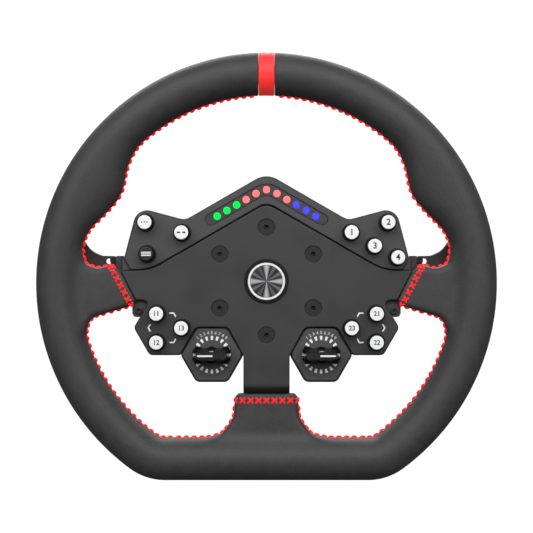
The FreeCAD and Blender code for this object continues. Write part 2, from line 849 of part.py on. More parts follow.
def make_knobs():
    front, shoulder, back = value("knob_front"), value("knob_shoulder"), value("knob_back")
    reach, rib = value("rib_reach"), value("rib_half_width")
    nut_space = rod(0, 0, 5.0, back + 3.2, back)
    skirt = slab(knob_profile(), shoulder, back)
    corners = [(-reach, rib, 1.2), (reach, rib, 1.2), (reach, -rib, 1.2), (-reach, -rib, 1.2)]
    grip = slab(face_of(corners), front, shoulder)
    flanks = []
    for sign in (-1, 1):
        foot = Vector(-reach, -shoulder, sign * (value("knob_waist") - 0.1))
        root = Vector(-reach, -shoulder, sign * (rib - 0.5))
        top = Vector(-reach, -front + 1.0, sign * (rib - 0.5))
        section = Part.Face(Part.makePolygon([foot, root, top, foot]))
        flank = section.extrude(Vector(2 * reach, 0, 0))
        flanks.append(flank)
    body = skirt.multiFuse([grip] + flanks)
    body = body.cut(nut_space).cut(rod(0, 0, value("shaft_radius"), front - 4, back))
    for name, (x, z) in DIALS.items():
        knob = body.copy()
        knob.translate(Vector(x, 0, z))
        shape_part(f"knob_{name}", knob)


def make_encoders():
    """Endless rotary encoders on the lower board, with nut and shaft."""
    bodies, nuts = [], []
    panel = PANEL_FRONT + 0.2
    for name, (x, z) in DIALS.items():
        shaft = value("shaft_radius")
        case = box(x - 6, x + 6, 49.6, BOARD_FRONT, z - 6, z + 6)
        bush = rod(x, z, 3.5, panel + 2.4, 49.6)
        bore = rod(x, z, shaft + value("pin_clearance"), panel + 3, 45.0)
        bodies.append(case.fuse(bush).cut(bore))
        nut = face_of(hexagon(x, z, 4.7, 0.0), (x, z, 3.5))
        nuts.append(slab(nut, panel + 2.2, panel))
        shape_part(f"encoder_shaft_{name}", rod(x, z, shaft, value("knob_front") - 4, 45.2))
    shape_part("encoders", Part.makeCompound(bodies))
    shape_part("encoder_nuts", Part.makeCompound(nuts))


# ---------------------------------------------------------------- boards and rear housing

def cover_face(growth):
    """Outline of everything that the rear housing closes, moved outwards by the growth."""
    side = value("hex_side")
    middle = [
        (0.0, 55.0, 0.0),
        (69.0, 15.0, 0.0),
        (69.0, -20.0, 0.0),
        (45.0, -34.0, 0.0),
        (14.0, -48.0, 0.0),
    ]
    pod = pod_points()[:4] + [(88.3, 7.5, 0.8), (60.0, 7.5, 0.0), (0.0, 45.0, 0.0)]
    faces = [face_of(mirrored(pod))]
    for x, z in CLUSTER_POSTS:
        faces.append(face_of(hexagon(x, z, side, 3.2)))
    for x, z in DIALS.values():
        faces.append(face_of(hexagon(x, z, side, 4.0)))
    plates = slab(face_of(mirrored(middle)), 1, 0).multiFuse([slab(face, 1, 0) for face in faces])
    plates = plates.removeSplitter()
    front = next(face for face in plates.Faces if face.BoundBox.YMax < -1 + 1e-6)
    front.translate(BACKWARD)
    return Part.Face(front.OuterWire.makeOffset2D(growth))


def make_rear_cover():
    lip = value("cover_lip")
    wall = value("cover_wall")
    back = value("cover_back")
    shell = slab(cover_face(lip), CORE_FRONT, back)
    shell = shell.cut(slab(cover_face(lip - wall), CORE_FRONT, back + wall))
    shell = shell.cut(rod(0, 0, value("collar_radius") + 2.5, back + wall, back))
    for x, z in POD_POSTS + CLUSTER_POSTS + DIAL_POSTS:
        shell = shell.cut(rod(x, z, 1.6, back + wall, back))
    for sign in (-1, 1):
        low, high = sorted((sign * 60.0, sign * 76.0))
        shell = shell.cut(box(low, high, CORE_FRONT, CORE_BACK - 0.2, -12.3, 6.9))
        tab_low, tab_high = sorted((sign * 70.0, sign * 90.0))
        shell = shell.cut(box(tab_low, tab_high, CORE_FRONT, CORE_BACK - 0.2, -23.6, -11.0))
        block_low, block_high = sorted((sign * 77.9, sign * 90.0))
        shell = shell.cut(box(block_low, block_high, CORE_BACK, 38.6, -23.6, -11.0))
    shell = shell.cut(box(-13.3, 13.3, CORE_FRONT, CORE_BACK - 0.2, -56, -40))
    rear_edges = [edge for edge in shell.Edges if rear_outline(edge, -back)]
    shape_part("rear_cover", shell.makeFillet(1.2, rear_edges))


def rear_outline(edge, level):
    """True for the long outer edges of the housing's back face."""
    bounds = edge.BoundBox
    flat = abs(bounds.YMin - level) < 1e-4 and abs(bounds.YMax - level) < 1e-4
    return flat and not edge.isClosed()


def make_boards():
    """Upper and lower switch boards, and the ring board round the quick release."""
    post_gap = POST_RADIUS + 0.4
    inside = cover_face(value("cover_lip") - value("cover_wall") - 0.6)
    upper = inside.common(face_of([(-100, 80, 0), (100, 80, 0), (100, 8.5, 0), (70, 8.5, 0), (40, 22, 0),
                                   (0, 46, 0), (-40, 22, 0), (-70, 8.5, 0), (-100, 8.5, 0)]))
    upper = upper.cut(disc(0, 0, 42.5))
    lower = inside.common(face_of([(-100, -13, 0), (100, -13, 0), (100, -80, 0), (-100, -80, 0)]))
    lower = lower.cut(disc(0, 0, 42.0))
    for sign in (-1, 1):
        low, high = sorted((sign * 77.0, sign * 95.0))
        corners = [(low, -24.5, 0), (high, -24.5, 0), (high, -10, 0), (low, -10, 0)]
        lower = lower.cut(face_of(corners))
    for x, z in POD_POSTS:
        upper = upper.cut(disc(x, z, post_gap))
    for x, z in CLUSTER_POSTS + DIAL_POSTS:
        lower = lower.cut(disc(x, z, post_gap))
    shape_part("upper_board", slab(upper, BOARD_FRONT, BOARD_BACK))
    shape_part("lower_board", slab(lower, BOARD_FRONT, BOARD_BACK))
    board = tube(0, 0, 44.0, 31.0, 34.0, 32.4)
    chips = [box(-5, 5, 35.2, 34.0, 33, 41), box(33, 40, 36.5, 34.0, -6, 6), box(-40, -34, 35.0, 34.0, -4, 4)]
    shape_part("main_board", board.multiFuse(chips))


# ---------------------------------------------------------------- quick release

def make_hub_adapter():
    """Flange screwed to the core, with the socket that slips over the base's shaft."""
    flange_back = CORE_BACK - value("flange_thick")
    flange = rod(0, 0, value("flange_radius"), CORE_BACK, flange_back)
    barrel = rod(0, 0, value("barrel_radius"), flange_back, 0)
    shape = flange.fuse(barrel).removeSplitter()
    shape = shape.cut(rod(0, 0, value("socket_radius"), value("socket_depth"), 0))
    for x, z in hub_places():
        shape = shape.cut(rod(x, z, value("hub_shank"), CORE_BACK, flange_back))
    shape = shape.cut(box(-2.5, 2.5, 8, 0, 14, 17))
    for angle in ball_angles():
        direction = Vector(math.cos(angle), 0, math.sin(angle))
        start = Vector(0, -value("ball_level"), 0) + direction * 10
        shape = shape.cut(Part.makeCylinder(value("ball_radius") + 0.05, 14, start, direction))
    shape = shape.cut(tube(0, 0, 30, 20.2, 2.6, 1.4))
    shape_part("hub_adapter", shape)


def ball_angles():
    return [math.radians(90 + 60 + 120 * step) for step in range(3)]


def make_lock():
    """Sliding collar with its spring, balls and retaining ring."""
    front = value("collar_front")
    back = value("collar_back")
    collar = tube(0, 0, value("collar_radius"), value("collar_bore"), front, back)
    collar = collar.cut(rod(0, 0, 24.6, front, 18.0))
    collar = collar.cut(tube(0, 0, 30, 25.8, 24.5, 9.0))
    shape_part("lock_collar", collar)

    balls = []
    ball_reach = (value("socket_radius") + value("barrel_radius")) / 2 + 0.06
    for angle in ball_angles():
        place = Vector(math.cos(angle), 0, math.sin(angle)) * ball_reach
        balls.append(Part.makeSphere(value("ball_radius"), place - Vector(0, value("ball_level"), 0)))
    shape_part("lock_balls", Part.makeCompound(balls))

    ring_solid = tube(0, 0, 22.8, 20.2, 2.6, 1.4)
    shape_part("retaining_ring", ring_solid.cut(box(-2, 2, 3, 1, -24, -19)))

    radius, wire = value("spring_radius"), value("spring_wire")
    height = value("spring_front") - value("spring_back") - 2 * wire
    helix = Part.makeHelix(height / value("spring_turns"), height, radius)
    section = Part.Wire(Part.Circle(Vector(radius, 0, 0), Vector(0, 1, 0), wire).toShape())
    coil = Part.Wire(helix).makePipeShell([section], True, True)
    coil.Placement = Placement(Vector(0, wire - value("spring_front"), 0), TURN_TO_BACK)
    shape_part("collar_spring", coil)


# ---------------------------------------------------------------- paddles

def blade_points():
    """Right-hand shift paddle: fixed end beside the pod, finger end behind the rim."""
    return [
        (99.3, 16.6, 2.5),
        (109.5, 16.8, 7.0),
        (117.0, 20.3, 14.0),
        (127.5, 36.5, 10.0),
        (134.0, 41.0, 4.0),
        (141.0, 30.0, 20.0),
        (141.0, -16.0, 20.0),
        (134.0, -31.0, 5.0),
        (126.0, -28.0, 12.0),
        (115.0, -15.5, 14.0),
        (99.3, -12.0, 2.5),
    ]


def make_paddles():
    front = value("paddle_front")
    back = front - value("paddle_thick")
    slot = face_of([(103.2, 14.9, 1.6), (106.8, 14.9, 1.6), (106.8, 11.3, 1.6), (103.2, 11.3, 1.6)])
    blade = slab(face_of(blade_points(), *[(x, z, 1.5) for x, z in PADDLE_SCREWS]).cut(slot), front, back)
    long_edges = []
    for edge in blade.Edges:
        bounds = edge.BoundBox
        if bounds.YLength < 1e-4 and not edge.isClosed() and bounds.DiagonalLength > 3.8:
            long_edges.append(edge)
    blade = blade.makeFillet(value("blade_edge"), long_edges)
    screws = []
    for x, z in PADDLE_SCREWS:
        head = rod(x, z, 2.75, 23.5, 21.7).cut(rod(x, z, 1.2, 22.9, 21.7))
        screws.append(rod(x, z, 1.5, front - 0.2, 23.5).fuse(head))
    screw_pair = Part.makeCompound(screws)

    pivot_x, pivot = value("pivot_across"), value("pivot_level")
    corners = [
        (73.0, 36.0), (86.5, 36.0), (89.5, back), (112.0, back),
        (112.0, 23.5), (86.0, 23.5), (80.0, 31.0), (73.0, 31.0),
    ]
    points = [Vector(x, -y, value("lever_low")) for x, y in corners]
    outline = Part.Face(Part.makePolygon(points + [points[0]]))
    lever = outline.extrude(UPWARD * value("lever_height"))
    hole = value("pin_radius") + value("pin_clearance")
    lever = lever.cut(Part.makeCylinder(hole, 12, Vector(pivot_x, -pivot, -9), UPWARD))
    for x, z in PADDLE_SCREWS:
        lever = lever.cut(rod(x, z, 1.5, back, 23.5))

    bracket = paddle_bracket(pivot_x, pivot)
    pin_foot = Vector(pivot_x, -pivot, value("pin_low"))
    pin = Part.makeCylinder(value("pin_radius"), value("pin_length"), pin_foot, UPWARD)
    magnet = rod(76.5, -2.75, value("magnet_radius"), 41.0, 36.8)
    switch = box(91.0, 97.0, 37.0, 27.0, -6.0, 0.5)
    mirror_of = {"right": lambda shape: shape, "left": mirror_x}
    for name, turn in mirror_of.items():
        shape_part(f"paddle_{name}", turn(blade))
        shape_part(f"paddle_lever_{name}", turn(lever))
        shape_part(f"paddle_screws_{name}", turn(screw_pair))
        shape_part(f"paddle_bracket_{name}", turn(bracket))
    shape_part("paddle_pins", Part.makeCompound([pin, mirror_x(pin)]))
    shape_part("paddle_magnets", Part.makeCompound([magnet, mirror_x(magnet)]))
    shape_part("paddle_switches", Part.makeCompound([switch, mirror_x(switch)]))


def paddle_bracket(pivot_x, pivot):
    """Channel behind the side arm that holds the pivot pin, the magnet and the switch."""
    base = box(71.5, 84.5, CORE_BACK, 29.0, -11.5, 6.0)
    reach = box(84.5, 98.6, 41.0, 29.5, -11.5, 6.0)
    ear = box(94.6, 98.6, 41.0, 30.0, 5.0, 16.6)
    foot = box(78.3, 86.9, CORE_BACK, 39.0, -23.2, -16.4)
    neck = box(78.3, 84.0, CORE_BACK, 39.0, -17.0, -11.0)
    bracket = base.multiFuse([reach, ear, foot, neck]).removeSplitter()
    bracket = bracket.cut(box(70.0, 99.5, 37.0, 28.0, -8.3, 2.8))
    bracket = bracket.cut(Part.makeCylinder(value("pin_radius"), 20, Vector(pivot_x, -pivot, -12), UPWARD))
    bracket = bracket.cut(rod(76.5, -2.75, value("magnet_radius"), 41.0, 36.0))
    return bracket.cut(rod(SPOKE_SCREW[0], SPOKE_SCREW[1], value("pilot_radius"), CORE_BACK, 40.0))


# ---------------------------------------------------------------- fasteners

def make_fasteners():
    head, shank = value("hub_head"), value("hub_shank")
    slope = head - shank
    hub = []
    for x, z in hub_places():
        mouth = Vector(x, -PLATE_FRONT + 0.25, z)
        screw = Part.makeCone(head, shank, slope, mouth, BACKWARD)
        screw = screw.fuse(rod(x, z, shank, PLATE_FRONT - 1, CORE_BACK - value("flange_thick") + 0.5))
        socket = slab(face_of(hexagon(x, z, value("hub_socket"), 0.0)), PLATE_FRONT, PLATE_FRONT - 2.2)
        hub.append(screw.cut(socket))
    shape_part("hub_screws", Part.makeCompound(hub))

    pilot = value("pilot_radius")
    spoke = []
    for sign in (-1, 1):
        x, z = sign * SPOKE_SCREW[0], SPOKE_SCREW[1]
        head_front = CORE_FRONT + 1.5
        head = rod(x, z, value("spoke_head"), head_front, CORE_FRONT)
        screw = head.fuse(rod(x, z, pilot, CORE_FRONT, 40.2))
        socket = face_of(hexagon(x, z, value("spoke_socket"), 0.0))
        spoke.append(screw.cut(slab(socket, head_front, CORE_FRONT + 0.4)))
    shape_part("spoke_screws", Part.makeCompound(spoke))

    cover = []
    back = value("cover_back")
    head_back = back - value("cover_head_height")
    for x, z in POD_POSTS + CLUSTER_POSTS + DIAL_POSTS:
        head = rod(x, z, value("cover_head"), back, head_back)
        screw = head.fuse(rod(x, z, pilot, back + 10.5, back))
        socket = face_of(hexagon(x, z, value("cover_socket"), 0.0))
        cover.append(screw.cut(slab(socket, head_back + 1.0, head_back)))
    shape_part("rear_cover_screws", Part.makeCompound(cover))


# ---------------------------------------------------------------- build, check and write

make_rim()
make_face_plate()
make_switch_panel()
make_dial_panels()
make_light_window()
make_lights()
make_buttons(UPPER_BUTTONS, "Dimensions.upper_rise", "Dimensions.panel_front")
make_buttons(LOWER_BUTTONS, "Dimensions.lower_rise", "Dimensions.plate_front")
make_bezels("bezels_upper", UPPER_BUTTONS, "Dimensions.panel_front")
make_bezels("bezels_lower", LOWER_BUTTONS, "Dimensions.plate_front")
make_switches()
make_centre_button()
make_knobs()
make_encoders()
make_rear_cover()
make_boards()
make_hub_adapter()
make_lock()
make_paddles()
make_fasteners()
doc.recompute()

for item in doc.Objects:
    if "Invalid" in item.State or "Error" in item.State:
        raise RuntimeError(f"{item.Name} failed: {item.State}")
for label, feature in parts.items():
    if feature.Shape.isNull() or not feature.Shape.isValid():
        raise RuntimeError(f"{label} has a bad shape")
    if not feature.Shape.Solids:
        raise RuntimeError(f"{label} has no solid")

os.makedirs("parts", exist_ok=True)
for label, feature in parts.items():
    feature.Shape.exportStep(f"parts/{label}.step")
print(len(parts), "sub-parts written")
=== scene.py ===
import math

import bmesh
import bpy
import numpy as np
import openvdb
from mathutils import Matrix, Vector


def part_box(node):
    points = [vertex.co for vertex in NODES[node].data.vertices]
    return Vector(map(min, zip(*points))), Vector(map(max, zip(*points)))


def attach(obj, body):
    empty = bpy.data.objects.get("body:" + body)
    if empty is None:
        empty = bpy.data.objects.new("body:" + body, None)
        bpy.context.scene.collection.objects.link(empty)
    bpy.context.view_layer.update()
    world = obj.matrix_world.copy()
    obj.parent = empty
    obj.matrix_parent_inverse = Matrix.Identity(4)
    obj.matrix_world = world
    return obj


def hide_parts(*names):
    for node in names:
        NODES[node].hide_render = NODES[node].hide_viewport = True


# A D-shaped racing wheel: leather grip with red stitching, control plates with buttons, lights and
# rotary selectors, shift paddles and a quick release. The driver is on the -Y side and +Z is up.

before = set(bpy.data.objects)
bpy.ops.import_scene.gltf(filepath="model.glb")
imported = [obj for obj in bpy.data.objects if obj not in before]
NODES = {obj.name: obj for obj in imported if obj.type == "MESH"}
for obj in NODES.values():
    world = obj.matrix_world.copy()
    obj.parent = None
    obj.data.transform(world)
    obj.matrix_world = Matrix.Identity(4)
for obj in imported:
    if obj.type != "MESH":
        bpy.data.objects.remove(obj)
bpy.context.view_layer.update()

MM = 0.001

# ---------------------------------------------------------------- sizes and places from the frame

GRIP_LOW, GRIP_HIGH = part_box("rim_leather")
RIM_RADIUS = (GRIP_HIGH.x - GRIP_LOW.x) / 2
RIM_Y = (GRIP_LOW.y + GRIP_HIGH.y) / 2
RIM_Z = GRIP_HIGH.z - RIM_RADIUS
TUBE_HALF_DEPTH = (GRIP_HIGH.y - GRIP_LOW.y) / 2
TUBE_HALF_WIDTH = 13.9 * MM
PATH_RADIUS = RIM_RADIUS - TUBE_HALF_WIDTH
PATH_FLAT = GRIP_LOW.z - RIM_Z + TUBE_HALF_WIDTH
CORNER_RADIUS = 25 * MM

# thumb bulges: extra width towards the inside, in millimetres, by the angle above level round the rim
BULGE_SHAPE = {8: 0.0, 11: 0.0, 14: 0.7, 17: 2.2, 20: 5.3, 23: 8.0, 26: 9.9, 29: 11.3, 32: 11.2, 35: 9.5,
               38: 6.2, 41: 3.6, 44: 1.5, 47: 0.2, 50: 0.0}
BULGE_SOFTEN = 3.0

PAD_HALF_DEPTH = 6.5 * MM
PAD_EDGE = 4 * MM
PAD_CROWN = 0.5 * MM
CROWN_RISE = 6 * MM
CUT_EDGE = 1.2 * MM
MARKER_HALF = 5.15 * MM
MARKER_GAP = 0.2 * MM
CORE_FRONT = 50 * MM
CROWN_Z = 100 * MM
ROOT_FILLET = 6 * MM
TOUCHING = 1e-7

SIDE_PAD = [
    (94.9, 7.0, 1.0), (101.0, 10.9, 6.0), (109.5, 8.6, 7.0), (117.5, 11.5, 5.0), (124.0, 24.0, 0.0),
    (134.0, 20.0, 0.0), (134.0, -36.0, 0.0), (121.0, -36.0, 0.0), (113.4, -23.8, 9.0),
    (91.0, -17.2, 4.0), (87.0, -16.0, 1.5), (85.2, -12.5, 2.0),
]
SIDE_PAD_OPEN = [(84.8, 0.5, 0.0)] + SIDE_PAD[1:10] + [(75.5, -12.6, 0.0)]
BOTTOM_PAD = [
    (18.2, -73.3, 2.0), (20.9, -76.0, 2.0), (21.6, -88.5, 9.0), (29.2, -99.2, 8.0),
    (38.0, -105.0, 0.0), (38.0, -112.0, 0.0),
]
BOTTOM_PAD_OPEN = [(20.2, -62.0, 0.0)] + BOTTOM_PAD[2:]


# ---------------------------------------------------------------- mesh helpers

def mesh_object(name, points, faces, material, body, smooth=True):
    """New mesh piece that rides on a body."""
    mesh = bpy.data.meshes.new(name)
    mesh.from_pydata([tuple(point) for point in points], [], [tuple(face) for face in faces])
    mesh.validate()
    mesh.polygons.foreach_set("use_smooth", [smooth] * len(mesh.polygons))
    return placed(name, mesh, material, body)


def linked(name, data):
    """New object in the scene."""
    piece = bpy.data.objects.new(name, data)
    bpy.context.scene.collection.objects.link(piece)
    return piece


def placed(name, mesh, material, body):
    """New object of one material that rides on a body."""
    piece = linked(name, mesh)
    mesh.materials.clear()
    mesh.materials.append(material)
    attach(piece, body)
    return piece


def rounded_outline(points, steps=8):
    """Closed outline in metres through (x, z, radius) corners in millimetres."""
    outline = []
    count = len(points)
    for index, (x, z, radius) in enumerate(points):
        corner = Vector((x, z))
        incoming = (Vector(points[index - 1][:2]) - corner).normalized()
        outgoing = (Vector(points[(index + 1) % count][:2]) - corner).normalized()
        half = incoming.angle(outgoing) / 2
        if radius == 0 or abs(half - math.pi / 2) < 1e-4:
            outline.append(corner)
            continue
        tangent = radius / math.tan(half)
        centre = corner + (incoming + outgoing).normalized() * (radius / math.sin(half))
        first = corner + incoming * tangent - centre
        last = corner + outgoing * tangent - centre
        turn = first.angle_signed(last)
        for step in range(steps + 1):
            outline.append(centre + Matrix.Rotation(-turn * step / steps, 2) @ first)
    return np.array([tuple(point) for point in outline]) * MM


def mirrored(points):
    """Right-hand corners from top to bottom, closed on the left side."""
    return list(points) + [(-x, z, radius) for x, z, radius in reversed(points) if x > 0]


def outline_distance(x, z, outline):
    """Signed distance to a closed outline, negative inside."""
    nearest = np.full(x.shape, 1e9)
    inside = np.zeros(x.shape, bool)
    for start, end in zip(outline, np.roll(outline, -1, axis=0)):
        along = end - start
        length = along @ along
        if length < 1e-14:
            continue
        share = np.clip(((x - start[0]) * along[0] + (z - start[1]) * along[1]) / length, 0, 1)
        gap = np.hypot(x - start[0] - share * along[0], z - start[1] - share * along[1])
        nearest = np.minimum(nearest, gap)
        crosses = (start[1] > z) != (end[1] > z)
        if start[1] != end[1]:
            at = start[0] + (z - start[1]) / (end[1] - start[1]) * along[0]
            inside ^= crosses & (x < at)
    return np.where(inside, -nearest, nearest)


# ---------------------------------------------------------------- the grip as a distance field

def merged(first, second, blend):
    """Union of two distances with a soft fillet."""
    share = np.clip(0.5 + 0.5 * (second - first) / blend, 0, 1)
    return second + (first - second) * share - blend * share * (1 - share)


def trimmed(first, second, blend):
    """Intersection of two distances with a soft edge."""
    return -merged(-first, -second, blend)


def oval_distance(across, deep, half_width, half_depth):
    ratio = np.hypot(across / half_width, deep / half_depth)
    slope = np.hypot(across / half_width ** 2, deep / half_depth ** 2)
    return ratio * (ratio - 1) / np.maximum(slope, 1e-6)


def path_distance(x, z):
    """Distance outwards from the D-shaped centre line of the tube."""
    radius = PATH_RADIUS - CORNER_RADIUS
    flat = PATH_FLAT + CORNER_RADIUS
    corner_x = math.sqrt(radius ** 2 - flat ** 2)
    reach = np.hypot(x, z)
    to_arc = reach - radius
    to_flat = flat - z
    to_corner = np.hypot(np.abs(x) - corner_x, z - flat)
    beyond_flat = np.where(np.abs(x) < corner_x, to_flat, to_corner)
    outside = np.where(z * radius > flat * reach, to_arc, beyond_flat)
    inside = np.maximum(to_arc, to_flat)
    return np.where(inside < 0, inside, outside) - CORNER_RADIUS


def bulge_table(step=0.25):
    """Angles round the rim and the extra width at each, with the corners of the list smoothed out."""
    angles = np.arange(-90, 90 + step, step)
    widths = np.interp(angles, list(BULGE_SHAPE), list(BULGE_SHAPE.values()), left=0, right=0)
    window = np.hanning(int(2 * BULGE_SOFTEN / step) + 1)
    return np.radians(angles), np.convolve(widths, window / window.sum(), mode="same") * MM


BULGE_ANGLES, BULGE_WIDTHS = bulge_table()


def tube_distance(x, deep, z):
    """Oval tube of the rim, widened inwards at ten to two."""
    across = path_distance(x, z)
    extra = np.interp(np.arctan2(z, np.abs(x)), BULGE_ANGLES, BULGE_WIDTHS)
    half_width = TUBE_HALF_WIDTH + np.where(across < 0, extra, 0)
    return oval_distance(across, deep, half_width, TUBE_HALF_DEPTH)


class Plan:
    """Distance to a flat outline, looked up between points of a grid that is worked out once."""

    pitch = 0.4 * MM
    low = np.array([-160 * MM, -140 * MM])

    def __init__(self, outline):
        columns = np.arange(self.low[0], 160 * MM, self.pitch)
        rows = np.arange(self.low[1], 160 * MM, self.pitch)
        x, z = np.meshgrid(columns, rows, indexing="ij")
        self.table = outline_distance(x, z, outline)

    def __call__(self, x, z):
        column = (x - self.low[0]) / self.pitch
        row = (z - self.low[1]) / self.pitch
        left = np.clip(column.astype(int), 0, self.table.shape[0] - 2)
        below = np.clip(row.astype(int), 0, self.table.shape[1] - 2)
        right_share, upper_share = column - left, row - below
        low = self.table[left, below] * (1 - right_share) + self.table[left + 1, below] * right_share
        high = self.table[left, below + 1] * (1 - right_share) + self.table[left + 1, below + 1] * right_share
        return low * (1 - upper_share) + high * upper_share


def pad_distance(x, deep, z, plan, open_plan):
    """Leather-covered spoke root: rolled edges, but a square-cut inner end."""
    across = open_plan(x, z)
    crown = PAD_CROWN * (1 - np.exp(np.minimum(across, 0) / CROWN_RISE))
    side = across + PAD_EDGE
    face = np.abs(deep) - PAD_HALF_DEPTH - crown + PAD_EDGE
    corner = np.hypot(np.maximum(side, 0), np.maximum(face, 0))
    rolled = corner + np.minimum(np.maximum(side, face), 0) - PAD_EDGE
    return trimmed(rolled, plan(x, z), CUT_EDGE)


SIDE_PLAN = Plan(rounded_outline(SIDE_PAD))
SIDE_OPEN_PLAN = Plan(rounded_outline(SIDE_PAD_OPEN))
BOTTOM_PLAN = Plan(rounded_outline(mirrored(BOTTOM_PAD)))
BOTTOM_OPEN_PLAN = Plan(rounded_outline(mirrored(BOTTOM_PAD_OPEN)))


def grip_distance(x, y, z):
    """Signed distance to the outside of the leather, for arrays of points in metres."""
    deep = y - RIM_Y
    rim_z = z - RIM_Z
    tube = tube_distance(x, deep, rim_z)
    grip = merged(tube, pad_distance(np.abs(x), deep, z, SIDE_PLAN, SIDE_OPEN_PLAN), ROOT_FILLET)
    return merged(grip, pad_distance(x, deep, z, BOTTOM_PLAN, BOTTOM_OPEN_PLAN), ROOT_FILLET)


def grip_normal(points):
    """Unit outward direction of the field at each point."""
    step = 0.05 * MM
    slopes = []
    for axis in range(3):
        shift = np.zeros(3)
        shift[axis] = step
        ahead, behind = points + shift, points - shift
        slopes.append(grip_distance(*ahead.T) - grip_distance(*behind.T))
    normal = np.stack(slopes, axis=1)
    return normal / np.linalg.norm(normal, axis=1, keepdims=True)


def onto_grip(points, rounds=4):
    """The points moved onto the leather's surface."""
    points = np.array(points, float)
    for _ in range(rounds):
        points -= grip_normal(points) * grip_distance(*points.T)[:, None]
    return points


def field_mesh(pitch):
    """Quads of the whole grip surface."""
    margin = 3 * MM
    low = np.array(GRIP_LOW) - margin
    high = np.array(GRIP_HIGH) + margin
    axes = [np.arange(low[i], high[i], pitch) for i in range(3)]
    slices = []
    flat_x, flat_z = np.meshgrid(axes[0], axes[2], indexing="ij")
    for y in axes[1]:
        slices.append(grip_distance(flat_x, np.full(flat_x.shape, y), flat_z))
    field = np.stack(slices, axis=1).astype(np.float32)
    grid = openvdb.FloatGrid(background=float(4 * MM))
    grid.copyFromArray(field)
    points, quads = grid.convertToQuads(0.0)
    points = points * pitch + low
    return onto_grip(points, rounds=2), quads[:, ::-1]


# ---------------------------------------------------------------- materials

def add(tree, kind, values=None, **settings):
    """New node with its settings, its input values and its incoming links."""
    node = tree.nodes.new(kind)
    for key, item in settings.items():
        setattr(node, key, item)
    for key, item in (values or {}).items():
        socket = node.inputs[key] if isinstance(key, int) else open_input(node, key)
        if isinstance(item, bpy.types.NodeSocket):
            tree.links.new(item, socket)
        else:
            socket.default_value = item
    return node


def open_input(node, name):
    """The node's usable input of that name, as some nodes hide one of the same name for each data type."""
    return next(socket for socket in node.inputs if socket.name == name and socket.enabled)


def ramp(tree, factor, stops):
    """Colour ramp from (position, grey or colour) stops."""
    node = add(tree, "ShaderNodeValToRGB", {"Fac": factor})
    while len(node.color_ramp.elements) < len(stops):
        node.color_ramp.elements.new(0.5)
    for element, (position, colour) in zip(node.color_ramp.elements, stops):
        element.position = position
        element.color = tuple(colour) + (1,)
    return node.outputs["Color"]


def mixed(tree, factor, first, second, blend="MIX"):
    node = add(tree, "ShaderNodeMix", {"Factor": factor, "A": first, "B": second},
               data_type="RGBA", blend_type=blend)
    return next(socket for socket in node.outputs if socket.name == "Result" and socket.enabled)


def mapped(tree, value, low, high, to_low, to_high):
    node = add(tree, "ShaderNodeMapRange", {
        "Value": value, "From Min": low, "From Max": high, "To Min": to_low, "To Max": to_high})
    return node.outputs["Result"]


def maths(tree, operation, *values):
    """Result of a maths node."""
    return add(tree, "ShaderNodeMath", dict(enumerate(values)), operation=operation).outputs["Value"]


def noise(tree, place, scale, detail, roughness=0.5):
    """Grey noise at places in space."""
    return add(tree, "ShaderNodeTexNoise", {
        "Vector": place, "Scale": scale, "Detail": detail, "Roughness": roughness}).outputs["Fac"]


def bumped(tree, height, distance, **under):
    """Normal of a relief whose height is in millimetres, over another normal if one is given."""
    return add(tree, "ShaderNodeBump", {
        "Height": height, "Distance": distance * MM, "Strength": 1.0, **under}).outputs["Normal"]


def feed(tree, shader, **sockets):
    """Links from outputs to the shader's inputs; an underscore in a name stands for a space."""
    for name, output in sockets.items():
        tree.links.new(output, shader.inputs[name.replace("_", " ")])


def new_material(name):
    material = bpy.data.materials.new(name)
    material.use_nodes = True
    tree = material.node_tree
    shader = tree.nodes["Principled BSDF"]
    place = add(tree, "ShaderNodeTexCoord").outputs["Object"]
    return material, tree, shader, place


def surface(name, low, high, rough, grain, height, metallic=0.0, wear=None, coat=0.0, stretch=(1, 1, 1),
            edge=0.25, specular=0.5, outline=None):
    """Moulded, cast or machined surface: fine grain, uneven gloss, rounded and slightly worn edges.
    grain, height and edge are in millimetres; low and high are linear colours; outline is a painted shade
    laid on everything but the flat front, darkening rounded edges and side walls as if in shadow."""
    material, tree, shader, place = new_material(name)
    stretched = add(tree, "ShaderNodeMapping", {"Vector": place, "Scale": stretch}).outputs["Vector"]
    fine = noise(tree, stretched, 1 / (grain * MM), 3.0, 0.6)
    broad = noise(tree, place, 45.0, 4.0, 0.55)
    colour = ramp(tree, fine, [(0.3, low), (0.7, high)])
    bevel = add(tree, "ShaderNodeBevel", {"Radius": edge * MM}, samples=6).outputs["Normal"]
    if wear:
        flat = add(tree, "ShaderNodeNewGeometry").outputs["Normal"]
        facing = add(tree, "ShaderNodeVectorMath", {0: bevel, 1: flat}, operation="DOT_PRODUCT")
        worn = mapped(tree, facing.outputs["Value"], 0.995, 0.9, 0.0, 0.7)
        colour = mixed(tree, maths(tree, "MULTIPLY", worn, broad), colour, tuple(wear) + (1,))
    # painted shade: faces turned away from the front, the rounded edges and side walls, are coloured towards
    # near black as if in shadow
    if outline:
        front = add(tree, "ShaderNodeVectorMath", {0: bevel, 1: (0, -1, 0)}, operation="DOT_PRODUCT")
        edge_shade = mapped(tree, front.outputs["Value"], 0.999, 0.96, 0.0, 1.0)
        colour = mixed(tree, edge_shade, colour, tuple(outline) + (1,))
    feed(tree, shader, Base_Color=colour, Roughness=mapped(tree, broad, 0.35, 0.65, *rough),
         Normal=bumped(tree, fine, height, Normal=bevel))
    shader.inputs["Metallic"].default_value = metallic
    shader.inputs["Coat Weight"].default_value = coat
    shader.inputs["Specular IOR Level"].default_value = specular
    return material


